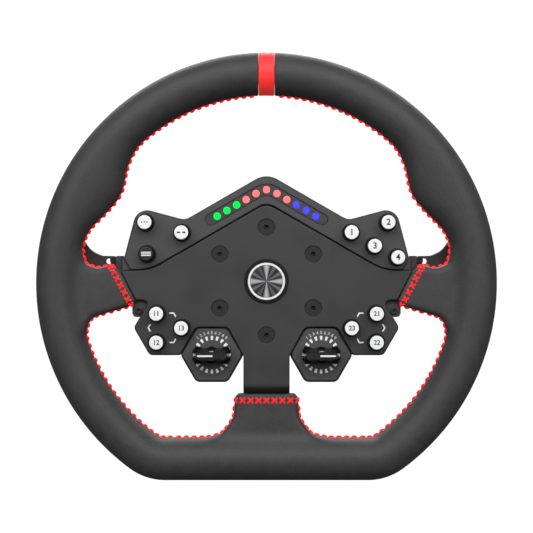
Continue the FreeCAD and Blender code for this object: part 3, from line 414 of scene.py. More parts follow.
def leather(name, low, high, rough, specular, painted_glow=0.0):
    """Fine pebbled leather with pores, soft creases and uneven sheen, and an optional painted glow in its own
    colour that keeps it bright in shade.
    """
    material, tree, shader, place = new_material(name)
    warped = add(tree, "ShaderNodeTexNoise", {"Vector": place, "Scale": 300.0, "Detail": 2.0})
    offset = add(tree, "ShaderNodeVectorMath", {0: warped.outputs["Color"], "Scale": 0.6 * MM},
                 operation="SCALE").outputs["Vector"]
    shifted = add(tree, "ShaderNodeVectorMath", {0: place, 1: offset}, operation="ADD").outputs["Vector"]
    cells = add(tree, "ShaderNodeTexVoronoi", {"Vector": shifted, "Scale": 1150.0},
                feature="DISTANCE_TO_EDGE").outputs["Distance"]
    pebble = mapped(tree, cells, 0.0, 0.28, 0.0, 1.0)
    pores = noise(tree, place, 2600.0, 2.0)
    creases = noise(tree, place, 120.0, 5.0, 0.62)
    relief = maths(tree, "ADD", pebble, pores)
    colour = ramp(tree, creases, [(0.3, low), (0.7, high)])
    groove = ramp(tree, pebble, [(0.0, (0.62, 0.62, 0.62)), (0.5, (1, 1, 1))])
    soft = bumped(tree, creases, 0.12)
    feed(tree, shader, Base_Color=mixed(tree, 1.0, colour, groove, "MULTIPLY"),
         Roughness=mapped(tree, creases, 0.3, 0.7, *rough), Normal=bumped(tree, relief, 0.035, Normal=soft))
    shader.inputs["Specular IOR Level"].default_value = specular
    shader.inputs["Sheen Weight"].default_value = 0.05
    # painted light: a glow in the leather's own colour
    shader.inputs["Emission Color"].default_value = tuple(high) + (1,)
    shader.inputs["Emission Strength"].default_value = painted_glow
    return material


def thread(name, low, high):
    """Waxed twisted thread with a painted glow in its own red that keeps it bright in shade."""
    material, tree, shader, place = new_material(name)
    fibres = noise(tree, place, 4200.0, 2.0)
    feed(tree, shader, Base_Color=ramp(tree, fibres, [(0.3, low), (0.7, high)]),
         Normal=bumped(tree, fibres, 0.05), Roughness=mapped(tree, fibres, 0.3, 0.7, 0.65, 0.8))
    shader.inputs["Specular IOR Level"].default_value = 0.2
    # painted light: the thread glows in its own red
    shader.inputs["Emission Color"].default_value = tuple(high) + (1,)
    shader.inputs["Emission Strength"].default_value = 0.55
    return material


def glow(name, low, high, light, strength):
    """Diffused lens with a lit colour behind it."""
    material, tree, shader, place = new_material(name)
    cloud = noise(tree, place, 900.0, 2.0)
    feed(tree, shader, Base_Color=ramp(tree, cloud, [(0.3, low), (0.7, high)]),
         Roughness=mapped(tree, cloud, 0.3, 0.7, 0.16, 0.3))
    shader.inputs["Emission Color"].default_value = tuple(light) + (1,)
    shader.inputs["Emission Strength"].default_value = strength
    shader.inputs["Specular IOR Level"].default_value = 0.25
    return material


def sunray(name, low, high):
    """Disc brushed outwards from its centre: fine radial lines, with narrow bright rays and fainter ones
    between painted into the colour as highlights of the brushed metal.
    """
    material, tree, shader, place = new_material(name)
    parts = add(tree, "ShaderNodeSeparateXYZ", {"Vector": place}).outputs
    angle = maths(tree, "ARCTAN2", parts["Z"], parts["X"])

    def rays(count, start, brightness):
        wave = maths(tree, "COSINE", maths(tree, "MULTIPLY", angle, float(count)))
        return mapped(tree, wave, start, 1.0, 0.0, brightness)

    folded = maths(tree, "ABSOLUTE", angle)
    lines = add(tree, "ShaderNodeTexNoise", {"W": folded, "Scale": 60.0, "Detail": 4.0, "Roughness": 0.7},
                noise_dimensions="1D").outputs["Fac"]
    broad = add(tree, "ShaderNodeTexNoise", {"W": folded, "Scale": 2.6, "Detail": 1.0},
                noise_dimensions="1D").outputs["Fac"]
    # painted highlights: bright rays at four angles and fainter ones between them
    main = rays(4, 0.5, 0.55)
    minor_painted_rays = maths(tree, "MULTIPLY", rays(12, -0.6, 0.36), broad)
    fine = mapped(tree, lines, 0.3, 0.7, -0.09, 0.09)
    total = maths(tree, "ADD", maths(tree, "ADD", main, minor_painted_rays), fine)
    feed(tree, shader, Base_Color=ramp(tree, total, [(0.0, low), (0.7, high)]),
         Normal=bumped(tree, lines, 0.01), Roughness=mapped(tree, lines, 0.3, 0.7, 0.36, 0.46))
    shader.inputs["Metallic"].default_value = 0.35
    return material


def two_tone(name, light_from, low, high, behind, specular=0.5):
    """One colour in front of a depth and a darker one behind it. The darker back is painted shade on side
    walls and flanks, and on the white caps it is also the dark body under a white face.
    """
    material, tree, shader, place = new_material(name)
    depth = add(tree, "ShaderNodeSeparateXYZ", {"Vector": place}).outputs["Y"]
    cloud = noise(tree, place, 700.0, 3.0)
    light = ramp(tree, cloud, [(0.3, low), (0.7, high)])
    dark = ramp(tree, cloud, [(0.3, tuple(0.8 * part for part in behind)), (0.7, behind)])
    # painted shade: everything behind the given depth takes the darker colour
    front = maths(tree, "LESS_THAN", depth, light_from)
    shader.inputs["Specular IOR Level"].default_value = specular
    feed(tree, shader, Base_Color=mixed(tree, front, dark, light),
         Roughness=mapped(tree, cloud, 0.3, 0.7, 0.3, 0.42), Normal=bumped(tree, cloud, 0.004))
    return material


def grey(value):
    return (value, value, value * 1.03)


BLACK_LEATHER = leather("black_leather", grey(0.036), grey(0.049), (0.54, 0.66), 0.42)
# the red band has a painted glow so its shaded lower side stays bright red
RED_LEATHER = leather("red_leather", (0.72, 0.018, 0.016), (0.86, 0.035, 0.03), (0.45, 0.58), 0.4,
                      painted_glow=0.42)
RED_THREAD = thread("red_thread", (0.86, 0.006, 0.006), (1.0, 0.018, 0.018))
# near-black painted shade for the turned edges and side walls of plates and panels
PAINTED_EDGE_SHADE = grey(0.004)
PLATE = surface("plate_metal", grey(0.027), grey(0.035), (0.42, 0.55), 0.25, 0.006,
                stretch=(0.2, 1, 1), edge=1.15, outline=PAINTED_EDGE_SHADE)
PANEL = surface("panel_plastic", grey(0.042), grey(0.052), (0.5, 0.62), 0.35, 0.012, edge=1.15,
                outline=PAINTED_EDGE_SHADE)
DIAL = surface("dial_plastic", grey(0.045), grey(0.055), (0.5, 0.62), 0.35, 0.012, edge=1.15,
               outline=PAINTED_EDGE_SHADE)
WINDOW = surface("smoked_plastic", grey(0.042), grey(0.052), (0.3, 0.4), 0.8, 0.003, coat=0.15)
BLACK_PLASTIC = surface("black_plastic", grey(0.003), grey(0.007), (0.5, 0.62), 0.3, 0.006, specular=0.25)
# white cap faces; the side walls behind are dark, partly a dark body and partly painted shade
CAP_FACE_DEPTH = 0.55 * MM
CAP_WHITE = ((0.80, 0.80, 0.81), (0.88, 0.88, 0.89), grey(0.01))
UPPER_CAP = two_tone("upper_cap_plastic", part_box("button_left_top")[0].y + CAP_FACE_DEPTH, *CAP_WHITE)
LOWER_CAP = two_tone("lower_cap_plastic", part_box("cluster_left_1")[0].y + CAP_FACE_DEPTH, *CAP_WHITE)
# painted shade: the black button's side walls are darker than its face, as if in shadow
BUTTON_BLACK = two_tone("button_black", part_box("button_left_low")[0].y + CAP_FACE_DEPTH, grey(0.014), grey(0.02),
                        grey(0.003))
# painted shade: only the knob's front rib face keeps the lit grey; the flanks behind it are painted near
# black as if in shadow
KNOB_LIT_FACE_DEPTH = 0.3 * MM
KNOB = two_tone("knob_plastic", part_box("knob_left")[0].y + KNOB_LIT_FACE_DEPTH, grey(0.019), grey(0.025),
                grey(0.002), 0.2)
CORE = surface("frame_metal", grey(0.03), grey(0.042), (0.4, 0.52), 0.4, 0.008, wear=grey(0.15))
HOUSING = surface("housing_plastic", grey(0.032), grey(0.044), (0.5, 0.62), 0.45, 0.02, wear=grey(0.07))
PADDLE = surface("paddle_metal", grey(0.05), grey(0.07), (0.34, 0.46), 0.3, 0.006, metallic=0.3,
                 wear=grey(0.3), stretch=(1, 1, 0.12))
BRACKET = surface("bracket_metal", grey(0.05), grey(0.065), (0.4, 0.5), 0.3, 0.006, metallic=0.5,
                  wear=grey(0.3))
SCREWS = surface("black_screws", grey(0.03), grey(0.045), (0.35, 0.5), 0.3, 0.006, metallic=0.6,
                 wear=grey(0.3))
HUB_SCREWS = surface("matt_black_screws", grey(0.015), grey(0.02), (0.5, 0.62), 0.3, 0.006, specular=0.3)
ADAPTER = surface("adapter_metal", grey(0.06), grey(0.08), (0.3, 0.42), 0.25, 0.005, metallic=0.8,
                  wear=grey(0.4), stretch=(1, 0.15, 1))
COLLAR = surface("collar_metal", grey(0.36), grey(0.45), (0.3, 0.42), 0.25, 0.005, metallic=0.55,
                 stretch=(1, 0.15, 1))
STEEL = surface("steel", grey(0.42), grey(0.52), (0.24, 0.34), 0.25, 0.004, metallic=0.6)
# painted reflection: the chrome ring is near-white with little metal, standing in for the bright surroundings
# it would mirror
CHROME_PAINTED_REFLECTION = surface("bright_ring", (0.88, 0.88, 0.89), (0.94, 0.94, 0.95), (0.12, 0.2), 0.5, 0.001,
                 metallic=0.15)
BOARD = surface("circuit_board", (0.008, 0.06, 0.025), (0.012, 0.09, 0.04), (0.3, 0.42), 0.6, 0.01)
SPUN_WITH_PAINTED_RAYS = sunray("spun_metal", grey(0.012), grey(0.5))
GREEN = glow("green_lens", (0.0, 0.6, 0.04), (0.0, 0.7, 0.07), (0.0, 1.0, 0.09), 0.65)
RED = glow("red_lens", (0.85, 0.11, 0.11), (0.95, 0.17, 0.17), (1.0, 0.15, 0.15), 0.8)
BLUE = glow("blue_lens", (0.03, 0.03, 0.75), (0.05, 0.05, 0.85), (0.055, 0.055, 1.0), 0.75)
WHITE_PRINT = surface("white_print", (0.72, 0.72, 0.73), (0.82, 0.82, 0.83), (0.5, 0.6), 0.3, 0.003)
GREY_PRINT = surface("grey_print", grey(0.5), grey(0.6), (0.5, 0.6), 0.3, 0.003)
BLACK_PRINT = surface("black_print", grey(0.006), grey(0.014), (0.5, 0.6), 0.3, 0.003)

FINISHES = {
    "rim_core": CORE, "face_plate": PLATE, "switch_panel": PANEL, "light_window": WINDOW,
    "dial_panel_left": DIAL, "dial_panel_right": DIAL,
    "lights_green": GREEN, "lights_red": RED, "lights_blue": BLUE,
    "bezels_upper": BLACK_PLASTIC, "bezels_lower": BLACK_PLASTIC, "tact_switches": BLACK_PLASTIC,
    "centre_button": SPUN_WITH_PAINTED_RAYS, "centre_ring": CHROME_PAINTED_REFLECTION, "centre_bezel": BLACK_PLASTIC,
    "knob_left": KNOB, "knob_right": KNOB, "encoders": BLACK_PLASTIC, "encoder_nuts": STEEL,
    "encoder_shaft_left": STEEL, "encoder_shaft_right": STEEL,
    "upper_board": BOARD, "lower_board": BOARD, "main_board": BOARD, "rear_cover": HOUSING,
    "paddle_left": PADDLE, "paddle_right": PADDLE,
    "paddle_lever_left": BRACKET, "paddle_lever_right": BRACKET,
    "paddle_bracket_left": BRACKET, "paddle_bracket_right": BRACKET,
    "paddle_pins": STEEL, "paddle_magnets": STEEL, "paddle_switches": BLACK_PLASTIC,
    "paddle_screws_left": SCREWS, "paddle_screws_right": SCREWS,
    "hub_adapter": ADAPTER, "lock_collar": COLLAR, "collar_spring": STEEL, "lock_balls": STEEL,
    "retaining_ring": STEEL, "hub_screws": HUB_SCREWS, "spoke_screws": SCREWS, "rear_cover_screws": SCREWS,
    "button_left_low": BUTTON_BLACK,
}
UPPER_BUTTONS = [name for name in NODES if name.startswith("button_")]
CLUSTER_BUTTONS = [name for name in NODES if name.startswith("cluster_")]
FINISHES.update({name: UPPER_CAP for name in UPPER_BUTTONS if name != "button_left_low"})
FINISHES.update({name: LOWER_CAP for name in CLUSTER_BUTTONS})


def dress_nodes():
    for name, node in NODES.items():
        node.data.materials.clear()
        node.data.materials.append(FINISHES.get(name, BLACK_PLASTIC))


# ---------------------------------------------------------------- leather grip

GRIP_PITCH = 0.9 * MM
CUT_REACH = 3 * MM


def sliced(mesh_data, places, keep):
    """bmesh of the grip cut across at several x places, with only the wanted faces left."""
    grip = bmesh.new()
    grip.from_mesh(mesh_data)
    for place in places:
        near = [face for face in grip.faces if abs(face.calc_center_median().x - place) < CUT_REACH
                and face.calc_center_median().z > CROWN_Z]
        around = set(near)
        for face in near:
            around.update(face.verts)
            around.update(face.edges)
        bmesh.ops.bisect_plane(grip, geom=list(around), dist=TOUCHING,
                               plane_co=(place, 0, 0), plane_no=(1, 0, 0))
    unwanted = [face for face in grip.faces if not keep(face.calc_center_median())]
    bmesh.ops.delete(grip, geom=unwanted, context="FACES")
    return grip


def roll_edges(grip, edge_x, width, depth, inward):
    """Turns the cut leather edges at x = +-edge_x down into the groove."""
    centre_z = RIM_Z + PATH_RADIUS
    for point in grip.verts:
        past = (edge_x - abs(point.co.x)) * inward
        if point.co.z < CROWN_Z or past < -TOUCHING or past > width:
            continue
        bend = 1 - past / width
        sink = depth * (1 - math.sqrt(max(0.0, 1 - bend * bend)))
        out = Vector((0, point.co.y - RIM_Y, point.co.z - centre_z))
        point.co -= out.normalized() * sink


def finished_grip(name, grip, material):
    open_edges = [edge for edge in grip.edges if edge.is_boundary]
    bmesh.ops.holes_fill(grip, edges=open_edges, sides=0)
    bmesh.ops.recalc_face_normals(grip, faces=grip.faces)
    for face in grip.faces:
        face.smooth = len(face.verts) < 8
    mesh = bpy.data.meshes.new(name)
    grip.to_mesh(mesh)
    grip.free()
    return placed(name, mesh, material, "wheel")


def make_grip():
    points, quads = field_mesh(GRIP_PITCH)
    whole = bpy.data.meshes.new("grip_whole")
    whole.from_pydata(points.tolist(), [], quads.tolist())
    whole.validate()
    leather_edge = MARKER_HALF + MARKER_GAP
    roll = 1.0 * MM
    steps = [0, 0.25 * MM, 0.55 * MM, roll]
    cuts = [sign * (leather_edge + step) for sign in (-1, 1) for step in steps]
    black = sliced(whole, cuts, lambda at: at.z < CROWN_Z or abs(at.x) > leather_edge)
    roll_edges(black, leather_edge, roll, 0.7 * MM, -1)
    grip = finished_grip("leather_grip", black, BLACK_LEATHER)
    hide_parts("rim_leather", "rim_foam")

    cuts = [sign * (MARKER_HALF - step) for sign in (-1, 1) for step in steps]
    red = sliced(whole, cuts, lambda at: at.z > CROWN_Z and abs(at.x) < MARKER_HALF)
    roll_edges(red, MARKER_HALF, roll, 0.5 * MM, 1)
    band = finished_grip("centre_band", red, RED_LEATHER)
    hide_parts("centre_marker")
    bpy.data.meshes.remove(whole)


# ---------------------------------------------------------------- stitching

THREAD_RADIUS = 0.6 * MM
SEAM_RADIUS = 0.92 * MM
THREAD_SIDES = 8
THREAD_ARCH, THREAD_SUNK = 1.65, 1.2
STRANDS, STRAND_DEPTH, STRAND_TWIST = 3, 0.12, 5.0
SEAM_PITCH = 5.0 * MM
SEAM_STEP = 0.5 * MM
SEAM_WINDOW = 8
SEAM_GATHER = 2.5 * MM
RAY_ROUNDS, RAY_SHARE = 60, 0.7
STITCH_SLANT = 1.5 * MM
STITCH_REACH = 1.55 * MM
ROW_DEPTH = PAD_HALF_DEPTH + PAD_CROWN

# seams, as (x, z) in millimetres: where the rays leave from, where the line starts and where it ends
UPPER_SEAM = (0, 60), (96.5, 9.0), (-96.5, 9.0)
LOWER_SEAM = (70, -70), (89.0, -16.5), (21.4, -80.0)
# rows of crossed stitches: first and last centre, and for each edge loop its place and the way out
SIDE_ROW = (89.7, -11.7), (99.0, 6.4)
SIDE_LOOPS = [((101.3, 10.3), (0.46, 0.89)), ((87.3, -15.9), (-0.46, -0.89))]
BOTTOM_ROW = (-15.45, -77.1), (15.45, -77.1)
BOTTOM_LOOPS = [((-20.9, -77.1), (-1, 0)), ((20.9, -77.1), (1, 0))]


def thread_mesh(name, lines, radius=THREAD_RADIUS):
    """One mesh of short threads, each an arch of twisted strands whose ends dive into the leather; each line
    is an array of points already on the leather."""
    points, faces = [], []
    for line in lines:
        count = len(line)
        shares = np.linspace(0, 1, count)
        normals = grip_normal(line)
        dive = radius * (THREAD_ARCH * np.sin(np.pi * shares) ** 0.5 - THREAD_SUNK)
        centres = line + normals * dive[:, None]
        tangents = np.gradient(centres, axis=0)
        tangents /= np.linalg.norm(tangents, axis=1, keepdims=True)
        sides = np.cross(tangents, normals)
        sides /= np.linalg.norm(sides, axis=1, keepdims=True)
        ups = np.cross(sides, tangents)
        first = len(points)
        for index in range(count):
            for side in range(THREAD_SIDES):
                angle = 2 * math.pi * side / THREAD_SIDES
                lobe = 1 + STRAND_DEPTH * math.cos(STRANDS * (angle - STRAND_TWIST * shares[index]))
                arm = sides[index] * math.cos(angle) + ups[index] * math.sin(angle)
                points.append(centres[index] + arm * radius * lobe)
        for index in range(count - 1):
            for side in range(THREAD_SIDES):
                after = (side + 1) % THREAD_SIDES
                row, above = first + index * THREAD_SIDES, first + (index + 1) * THREAD_SIDES
                faces.append((row + side, row + after, above + after, above + side))
        faces.append([first + side for side in reversed(range(THREAD_SIDES))])
        last = first + (count - 1) * THREAD_SIDES
        faces.append([last + side for side in range(THREAD_SIDES)])
    return mesh_object(name, points, faces, RED_THREAD, "wheel")


def surface_line(start, end, count=11):
    """Points on the leather between two nearby points."""
    shares = np.linspace(0, 1, count)[:, None]
    return onto_grip(np.array(start) * (1 - shares) + np.array(end) * shares)


def seam_around(centre, start, end, turns, count=1400):
    """Silhouette of an opening, met by rays from its centre between two directions."""
    centre = np.array(centre) * MM
    first = math.atan2(start[1] * MM - centre[1], start[0] * MM - centre[0])
    last = math.atan2(end[1] * MM - centre[1], end[0] * MM - centre[0])
    if turns > 0 and last < first:
        last += 2 * math.pi
    if turns < 0 and last > first:
        last -= 2 * math.pi
    angles = np.linspace(first, last, count)
    hit = np.zeros(count)
    for _ in range(RAY_ROUNDS):
        x = centre[0] + np.cos(angles) * hit
        z = centre[1] + np.sin(angles) * hit
        hit += RAY_SHARE * grip_distance(x, np.full(count, RIM_Y), z)
    line = np.stack([x, np.full(count, RIM_Y), z], axis=1)
    return onto_grip(line)


def seam_stitches(line, skip=None):
    """Slanting stitches over a seam, closer together where the seam bends in."""
    steps = np.linalg.norm(np.diff(line, axis=0), axis=1)
    length = np.concatenate([[0], np.cumsum(steps)])
    even = np.arange(0, length[-1], SEAM_STEP)
    line = np.stack([np.interp(even, length, line[:, axis]) for axis in range(3)], axis=1)
    for _ in range(3):
        line[1:-1] = (line[:-2] + line[1:-1] + line[2:]) / 3
    tangents = np.gradient(line, axis=0)
    tangents /= np.linalg.norm(tangents, axis=1, keepdims=True)
    normals = grip_normal(line)
    curl = np.zeros(len(line))
    turn = (tangents[2 * SEAM_WINDOW:] - tangents[:-2 * SEAM_WINDOW]) / (2 * SEAM_WINDOW * SEAM_STEP)
    curl[SEAM_WINDOW:-SEAM_WINDOW] = np.einsum("ij,ij->i", turn, normals[SEAM_WINDOW:-SEAM_WINDOW])
    pitch = SEAM_PITCH / (1 + SEAM_GATHER * np.maximum(curl, 0))
    count = np.concatenate([[0], np.cumsum(SEAM_STEP / pitch[:-1])])
    total = int(count[-1])
    places = np.interp((np.arange(total) + 0.5) * count[-1] / total, count, np.arange(len(line)))
    stitches = []
    for place in places:
        index = int(round(place))
        at, along = line[index], tangents[index]
        if skip and skip(at):
            continue
        slant = np.array([0, 1, 0]) * STITCH_SLANT
        reach = along * STITCH_REACH
        stitches.append(surface_line(at - reach - slant, at + reach + slant))
    return stitches


def cross_row(start, end, count, half=1.75 * MM):
    """Row of crossed stitches on the front and back of a spoke root, with centres from start to end."""
    start, end = np.array(start) * MM, np.array(end) * MM
    along = (end - start) / np.linalg.norm(end - start)
    across = np.array([-along[1], along[0]])
    stitches = []
    for face in (-1, 1):
        y = RIM_Y + face * ROW_DEPTH
        for share in np.linspace(0, 1, count):
            at = start + (end - start) * share
            for lean in (-1, 1):
                low = at - (along + across * lean) * half
                high = at + (along + across * lean) * half
                stitches.append(surface_line((low[0], y, low[1]), (high[0], y, high[1]), 9))
    return stitches


def edge_loops(at, out):
    """Crossed stitch that carries a row over the leather's side edge, from the front face to the back one."""
    at, out = np.array(at) * MM, np.array(out)
    across = np.array([-out[1], out[0]])
    near_in, near_side, far_out, far_side, far_depth = 1.4 * MM, 1.5 * MM, 0.6 * MM, 1.1 * MM, 3 * MM
    side_out, side_reach, side_depth = 0.8 * MM, 1.2 * MM, 2.5 * MM
    stitches = []
    for lean in (-1, 1):
        near = at - out * near_in + across * lean * near_side
        far = at + out * far_out - across * lean * far_side
        for face in (-1, 1):
            stitches.append(surface_line((near[0], RIM_Y + face * ROW_DEPTH, near[1]),
                                         (far[0], RIM_Y + face * far_depth, far[1])))
    for face in (-1, 1):
        low = at + out * side_out - across * side_reach
        high = at + out * side_out + across * side_reach
        stitches.append(surface_line((low[0], RIM_Y + face * side_depth, low[1]),
                                     (high[0], RIM_Y - face * side_depth, high[1])))
    return stitches


def mirror_x(points, sign):
    """The (x, z) points, mirrored in x when the sign is -1."""
    return [(sign * x, z) for x, z in points]


def stitched_row(row, loops, count, sign=1):
    """Row of crossed stitches with a loop over the side edge for each loop's place and way out."""
    stitches = cross_row(*mirror_x(row, sign), count)
    for loop in loops:
        stitches += edge_loops(*mirror_x(loop, sign))
    return stitches


def make_stitching():
    near_band = MARKER_HALF + 2.6 * MM
    upper = seam_around(*UPPER_SEAM, 1)
    upper_stitches = seam_stitches(upper, skip=lambda at: at[2] > CROWN_Z and abs(at[0]) < near_band)
    thread_mesh("stitching_upper", upper_stitches, SEAM_RADIUS)
    for side, sign in (("left", -1), ("right", 1)):
        lower = seam_around(*mirror_x(LOWER_SEAM, sign), -sign)
        thread_mesh(f"stitching_lower_{side}", seam_stitches(lower), SEAM_RADIUS)
        thread_mesh(f"cross_stitches_{side}", stitched_row(SIDE_ROW, SIDE_LOOPS, 5, sign))
    thread_mesh("cross_stitches_bottom", stitched_row(BOTTOM_ROW, BOTTOM_LOOPS, 7))


# ---------------------------------------------------------------- printed marks

PRINT_HEIGHT = 0.06 * MM


def raised(name, outlines, front, material, body):
    """Flat printed shapes standing a little proud of a front face; outlines are (x, z) points in metres."""
    points, faces = [], []
    for outline in outlines:
        if signed_area(outline) < 0:
            outline = outline[::-1]
        count, first = len(outline), len(points)
        points += [(x, front - PRINT_HEIGHT, z) for x, z in outline]
        points += [(x, front + PRINT_HEIGHT, z) for x, z in outline]
        faces.append([first + index for index in range(count)])
        for index in range(count):
            after = (index + 1) % count
            faces.append((first + index, first + count + index, first + count + after, first + after))
    piece = mesh_object(name, points, faces, material, body, smooth=False)
    return piece


def signed_area(outline):
    total = 0
    for (x, z), (next_x, next_z) in zip(outline, list(outline[1:]) + [outline[0]]):
        total += x * next_z - next_x * z
    return total / 2


def numeral(name, text, place, height, material, body, turn=0.0):
    """Number standing on a front face, centred on (x, y, z) and turned about the depth axis."""
    curve = bpy.data.curves.new(name + "_curve", "FONT")
    curve.body = text
    curve.align_x, curve.align_y = "CENTER", "CENTER"
    curve.size = height / 0.7
    curve.offset = 0.032 * height
    curve.extrude = PRINT_HEIGHT
    curve.resolution_u = 3
    maker = linked(name + "_maker", curve)
    graph = bpy.context.evaluated_depsgraph_get()
    mesh = bpy.data.meshes.new_from_object(maker.evaluated_get(graph))
    bpy.data.objects.remove(maker)
    spin = Matrix.Rotation(turn, 4, "Y") @ Matrix.Rotation(math.pi / 2, 4, "X")
    mesh.transform(Matrix.Translation(place) @ spin)
    mesh.name = name
    piece = placed(name, mesh, material, body)
    return piece


def node_centre(name):
    low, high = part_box(name)
    return (low.x + high.x) / 2, (low.z + high.z) / 2


def bar(x, z, width, height, steps=5):
    """Outline of a bar with round ends, centred on a point."""
    radius = min(width, height) / 2
    reach_x, reach_z = width / 2 - radius, height / 2 - radius
    outline = []
    for quarter, (side_x, side_z) in enumerate([(1, 1), (-1, 1), (-1, -1), (1, -1)]):
        for step in range(steps):
            angle = math.pi / 2 * (quarter + step / (steps - 1))
            outline.append((x + side_x * reach_x + radius * math.cos(angle),
                            z + side_z * reach_z + radius * math.sin(angle)))
    return outline


CAP_NUMBERS = {
    "button_right_inner": ("1", 3.9), "button_right_top": ("2", 3.9), "button_right_middle": ("3", 3.9),
    "button_right_low": ("4", 3.9),
    "cluster_left_1": ("11", 3.0), "cluster_left_2": ("12", 3.0), "cluster_left_3": ("13", 3.0),
    "cluster_right_1": ("21", 3.0), "cluster_right_2": ("22", 3.0), "cluster_right_3": ("23", 3.0),
}


def make_cap_marks():
    for button, (text, height) in CAP_NUMBERS.items():
        x, z = node_centre(button)
        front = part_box(button)[0].y
        numeral(f"mark_{button}", text, (x, front, z), height * MM, BLACK_PRINT, button)
    signs = {
        "button_left_top": ([(-1.7, 0.1, 0.9, 0.9), (0.0, 0.1, 0.9, 0.9), (1.7, 0.1, 0.9, 0.9)],
                            BLACK_PRINT, "button_black"),
        "button_left_inner": ([(-1.75, 0.0, 2.3, 1.0), (1.75, 0.0, 2.3, 1.0)], BLACK_PRINT, "button_black"),
        "button_left_low": ([(0.0, 1.05, 6.4, 0.66), (0.0, 0.0, 6.4, 0.66), (0.0, -1.05, 6.4, 0.66)],
                            WHITE_PRINT, "white_plastic"),
    }
    for button, (bars, material, slot) in signs.items():
        x, z = node_centre(button)
        outlines = [bar(x + dx * MM, z + dz * MM, width * MM, height * MM) for dx, dz, width, height in bars]
        raised(f"mark_{button}", outlines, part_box(button)[0].y, material, button)


def make_cluster_marks():
    """Chevrons between the three buttons of each cluster, on the corners of a small hexagon."""
    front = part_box("face_plate")[0].y
    reach, arm, half_width = 11.0 * MM, 2.7 * MM, 0.45 * MM
    for side, sign in (("left", -1), ("right", 1)):
        buttons = [node_centre(f"cluster_{side}_{number}") for number in (1, 2, 3)]
        centre_x = sum(x for x, _ in buttons) / 3
        centre_z = sum(z for _, z in buttons) / 3
        outlines = []
        for corner in (60, 180, 300):
            angle = math.radians(corner)
            outer, inner = [], []
            for offset, ring in ((half_width, outer), (-half_width, inner)):
                radius = reach + offset / math.cos(math.pi / 6)
                for part in (-1, 0, 1):
                    along = math.radians(corner + 60 * part)
                    tip = Vector((math.cos(angle), math.sin(angle))) * radius
                    if part:
                        neighbour = Vector((math.cos(along), math.sin(along))) * radius
                        tip = tip + (neighbour - tip).normalized() * arm
                    ring.append((centre_x - sign * tip.x, centre_z + tip.y))
            outlines.append(outer + inner[::-1])
        raised(f"chevrons_{side}", outlines, front, WHITE_PRINT, "wheel")


def make_dial_marks():
    """Tick ring with a row of numbers round the top of each rotary selector, and the knob's pointer."""
    inner, outer, inner_half, outer_half = 9.6 * MM, 12.2 * MM, 0.62 * MM, 0.92 * MM
    ticks_round, number_reach, number_height, number_step = 20, 14.2 * MM, 1.9 * MM, 10.0
    pointer_offset, pointer_length, pointer_width = 3.95 * MM, 10.1 * MM, 1.1 * MM
    for side, sign in (("left", -1), ("right", 1)):
        panel, knob = f"dial_panel_{side}", f"knob_{side}"
        x, z = node_centre(knob)
        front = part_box(panel)[0].y
        ticks = []
        for step in range(ticks_round):
            angle = math.radians(360 / ticks_round * step)
            out = Vector((math.cos(angle), math.sin(angle)))
            side_way = Vector((-out.y, out.x))
            corners = [out * inner - side_way * inner_half, out * outer - side_way * outer_half,
                       out * outer + side_way * outer_half, out * inner + side_way * inner_half]
            ticks.append([(x + corner.x, z + corner.y) for corner in corners])
        raised(f"dial_ticks_{side}", ticks, front, WHITE_PRINT, "wheel")
        for number in range(1, 10):
            turn = math.radians((number - 5) * number_step)
            place = (x + number_reach * math.sin(turn), front, z + number_reach * math.cos(turn))
            numeral(f"dial_number_{side}_{number}", str(number), place, number_height, GREY_PRINT, "wheel",
                    turn=turn)
        line = [bar(x + sign * pointer_offset, z, pointer_length, pointer_width)]
        raised(f"knob_pointer_{side}", line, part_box(knob)[0].y, WHITE_PRINT, knob)


# ---------------------------------------------------------------- side hardware

def prism(name, outline, front, back, bevel, material, body):
    """Solid with an outline in x and z, between two depths, with small bevels."""
    count = len(outline)
    solid = bmesh.new()
    near = [solid.verts.new((x, front, z)) for x, z in outline]
    far = [solid.verts.new((x, back, z)) for x, z in outline]
    solid.faces.new(near)
    solid.faces.new(far[::-1])
    for index in range(count):
        after = (index + 1) % count
        solid.faces.new((near[index], far[index], far[after], near[after]))
    bmesh.ops.recalc_face_normals(solid, faces=solid.faces)
    bmesh.ops.bevel(solid, geom=list(solid.edges), offset=bevel, segments=2, affect="EDGES")
    mesh = bpy.data.meshes.new(name)
    solid.to_mesh(mesh)
    solid.free()
    piece = placed(name, mesh, material, body)
    return piece


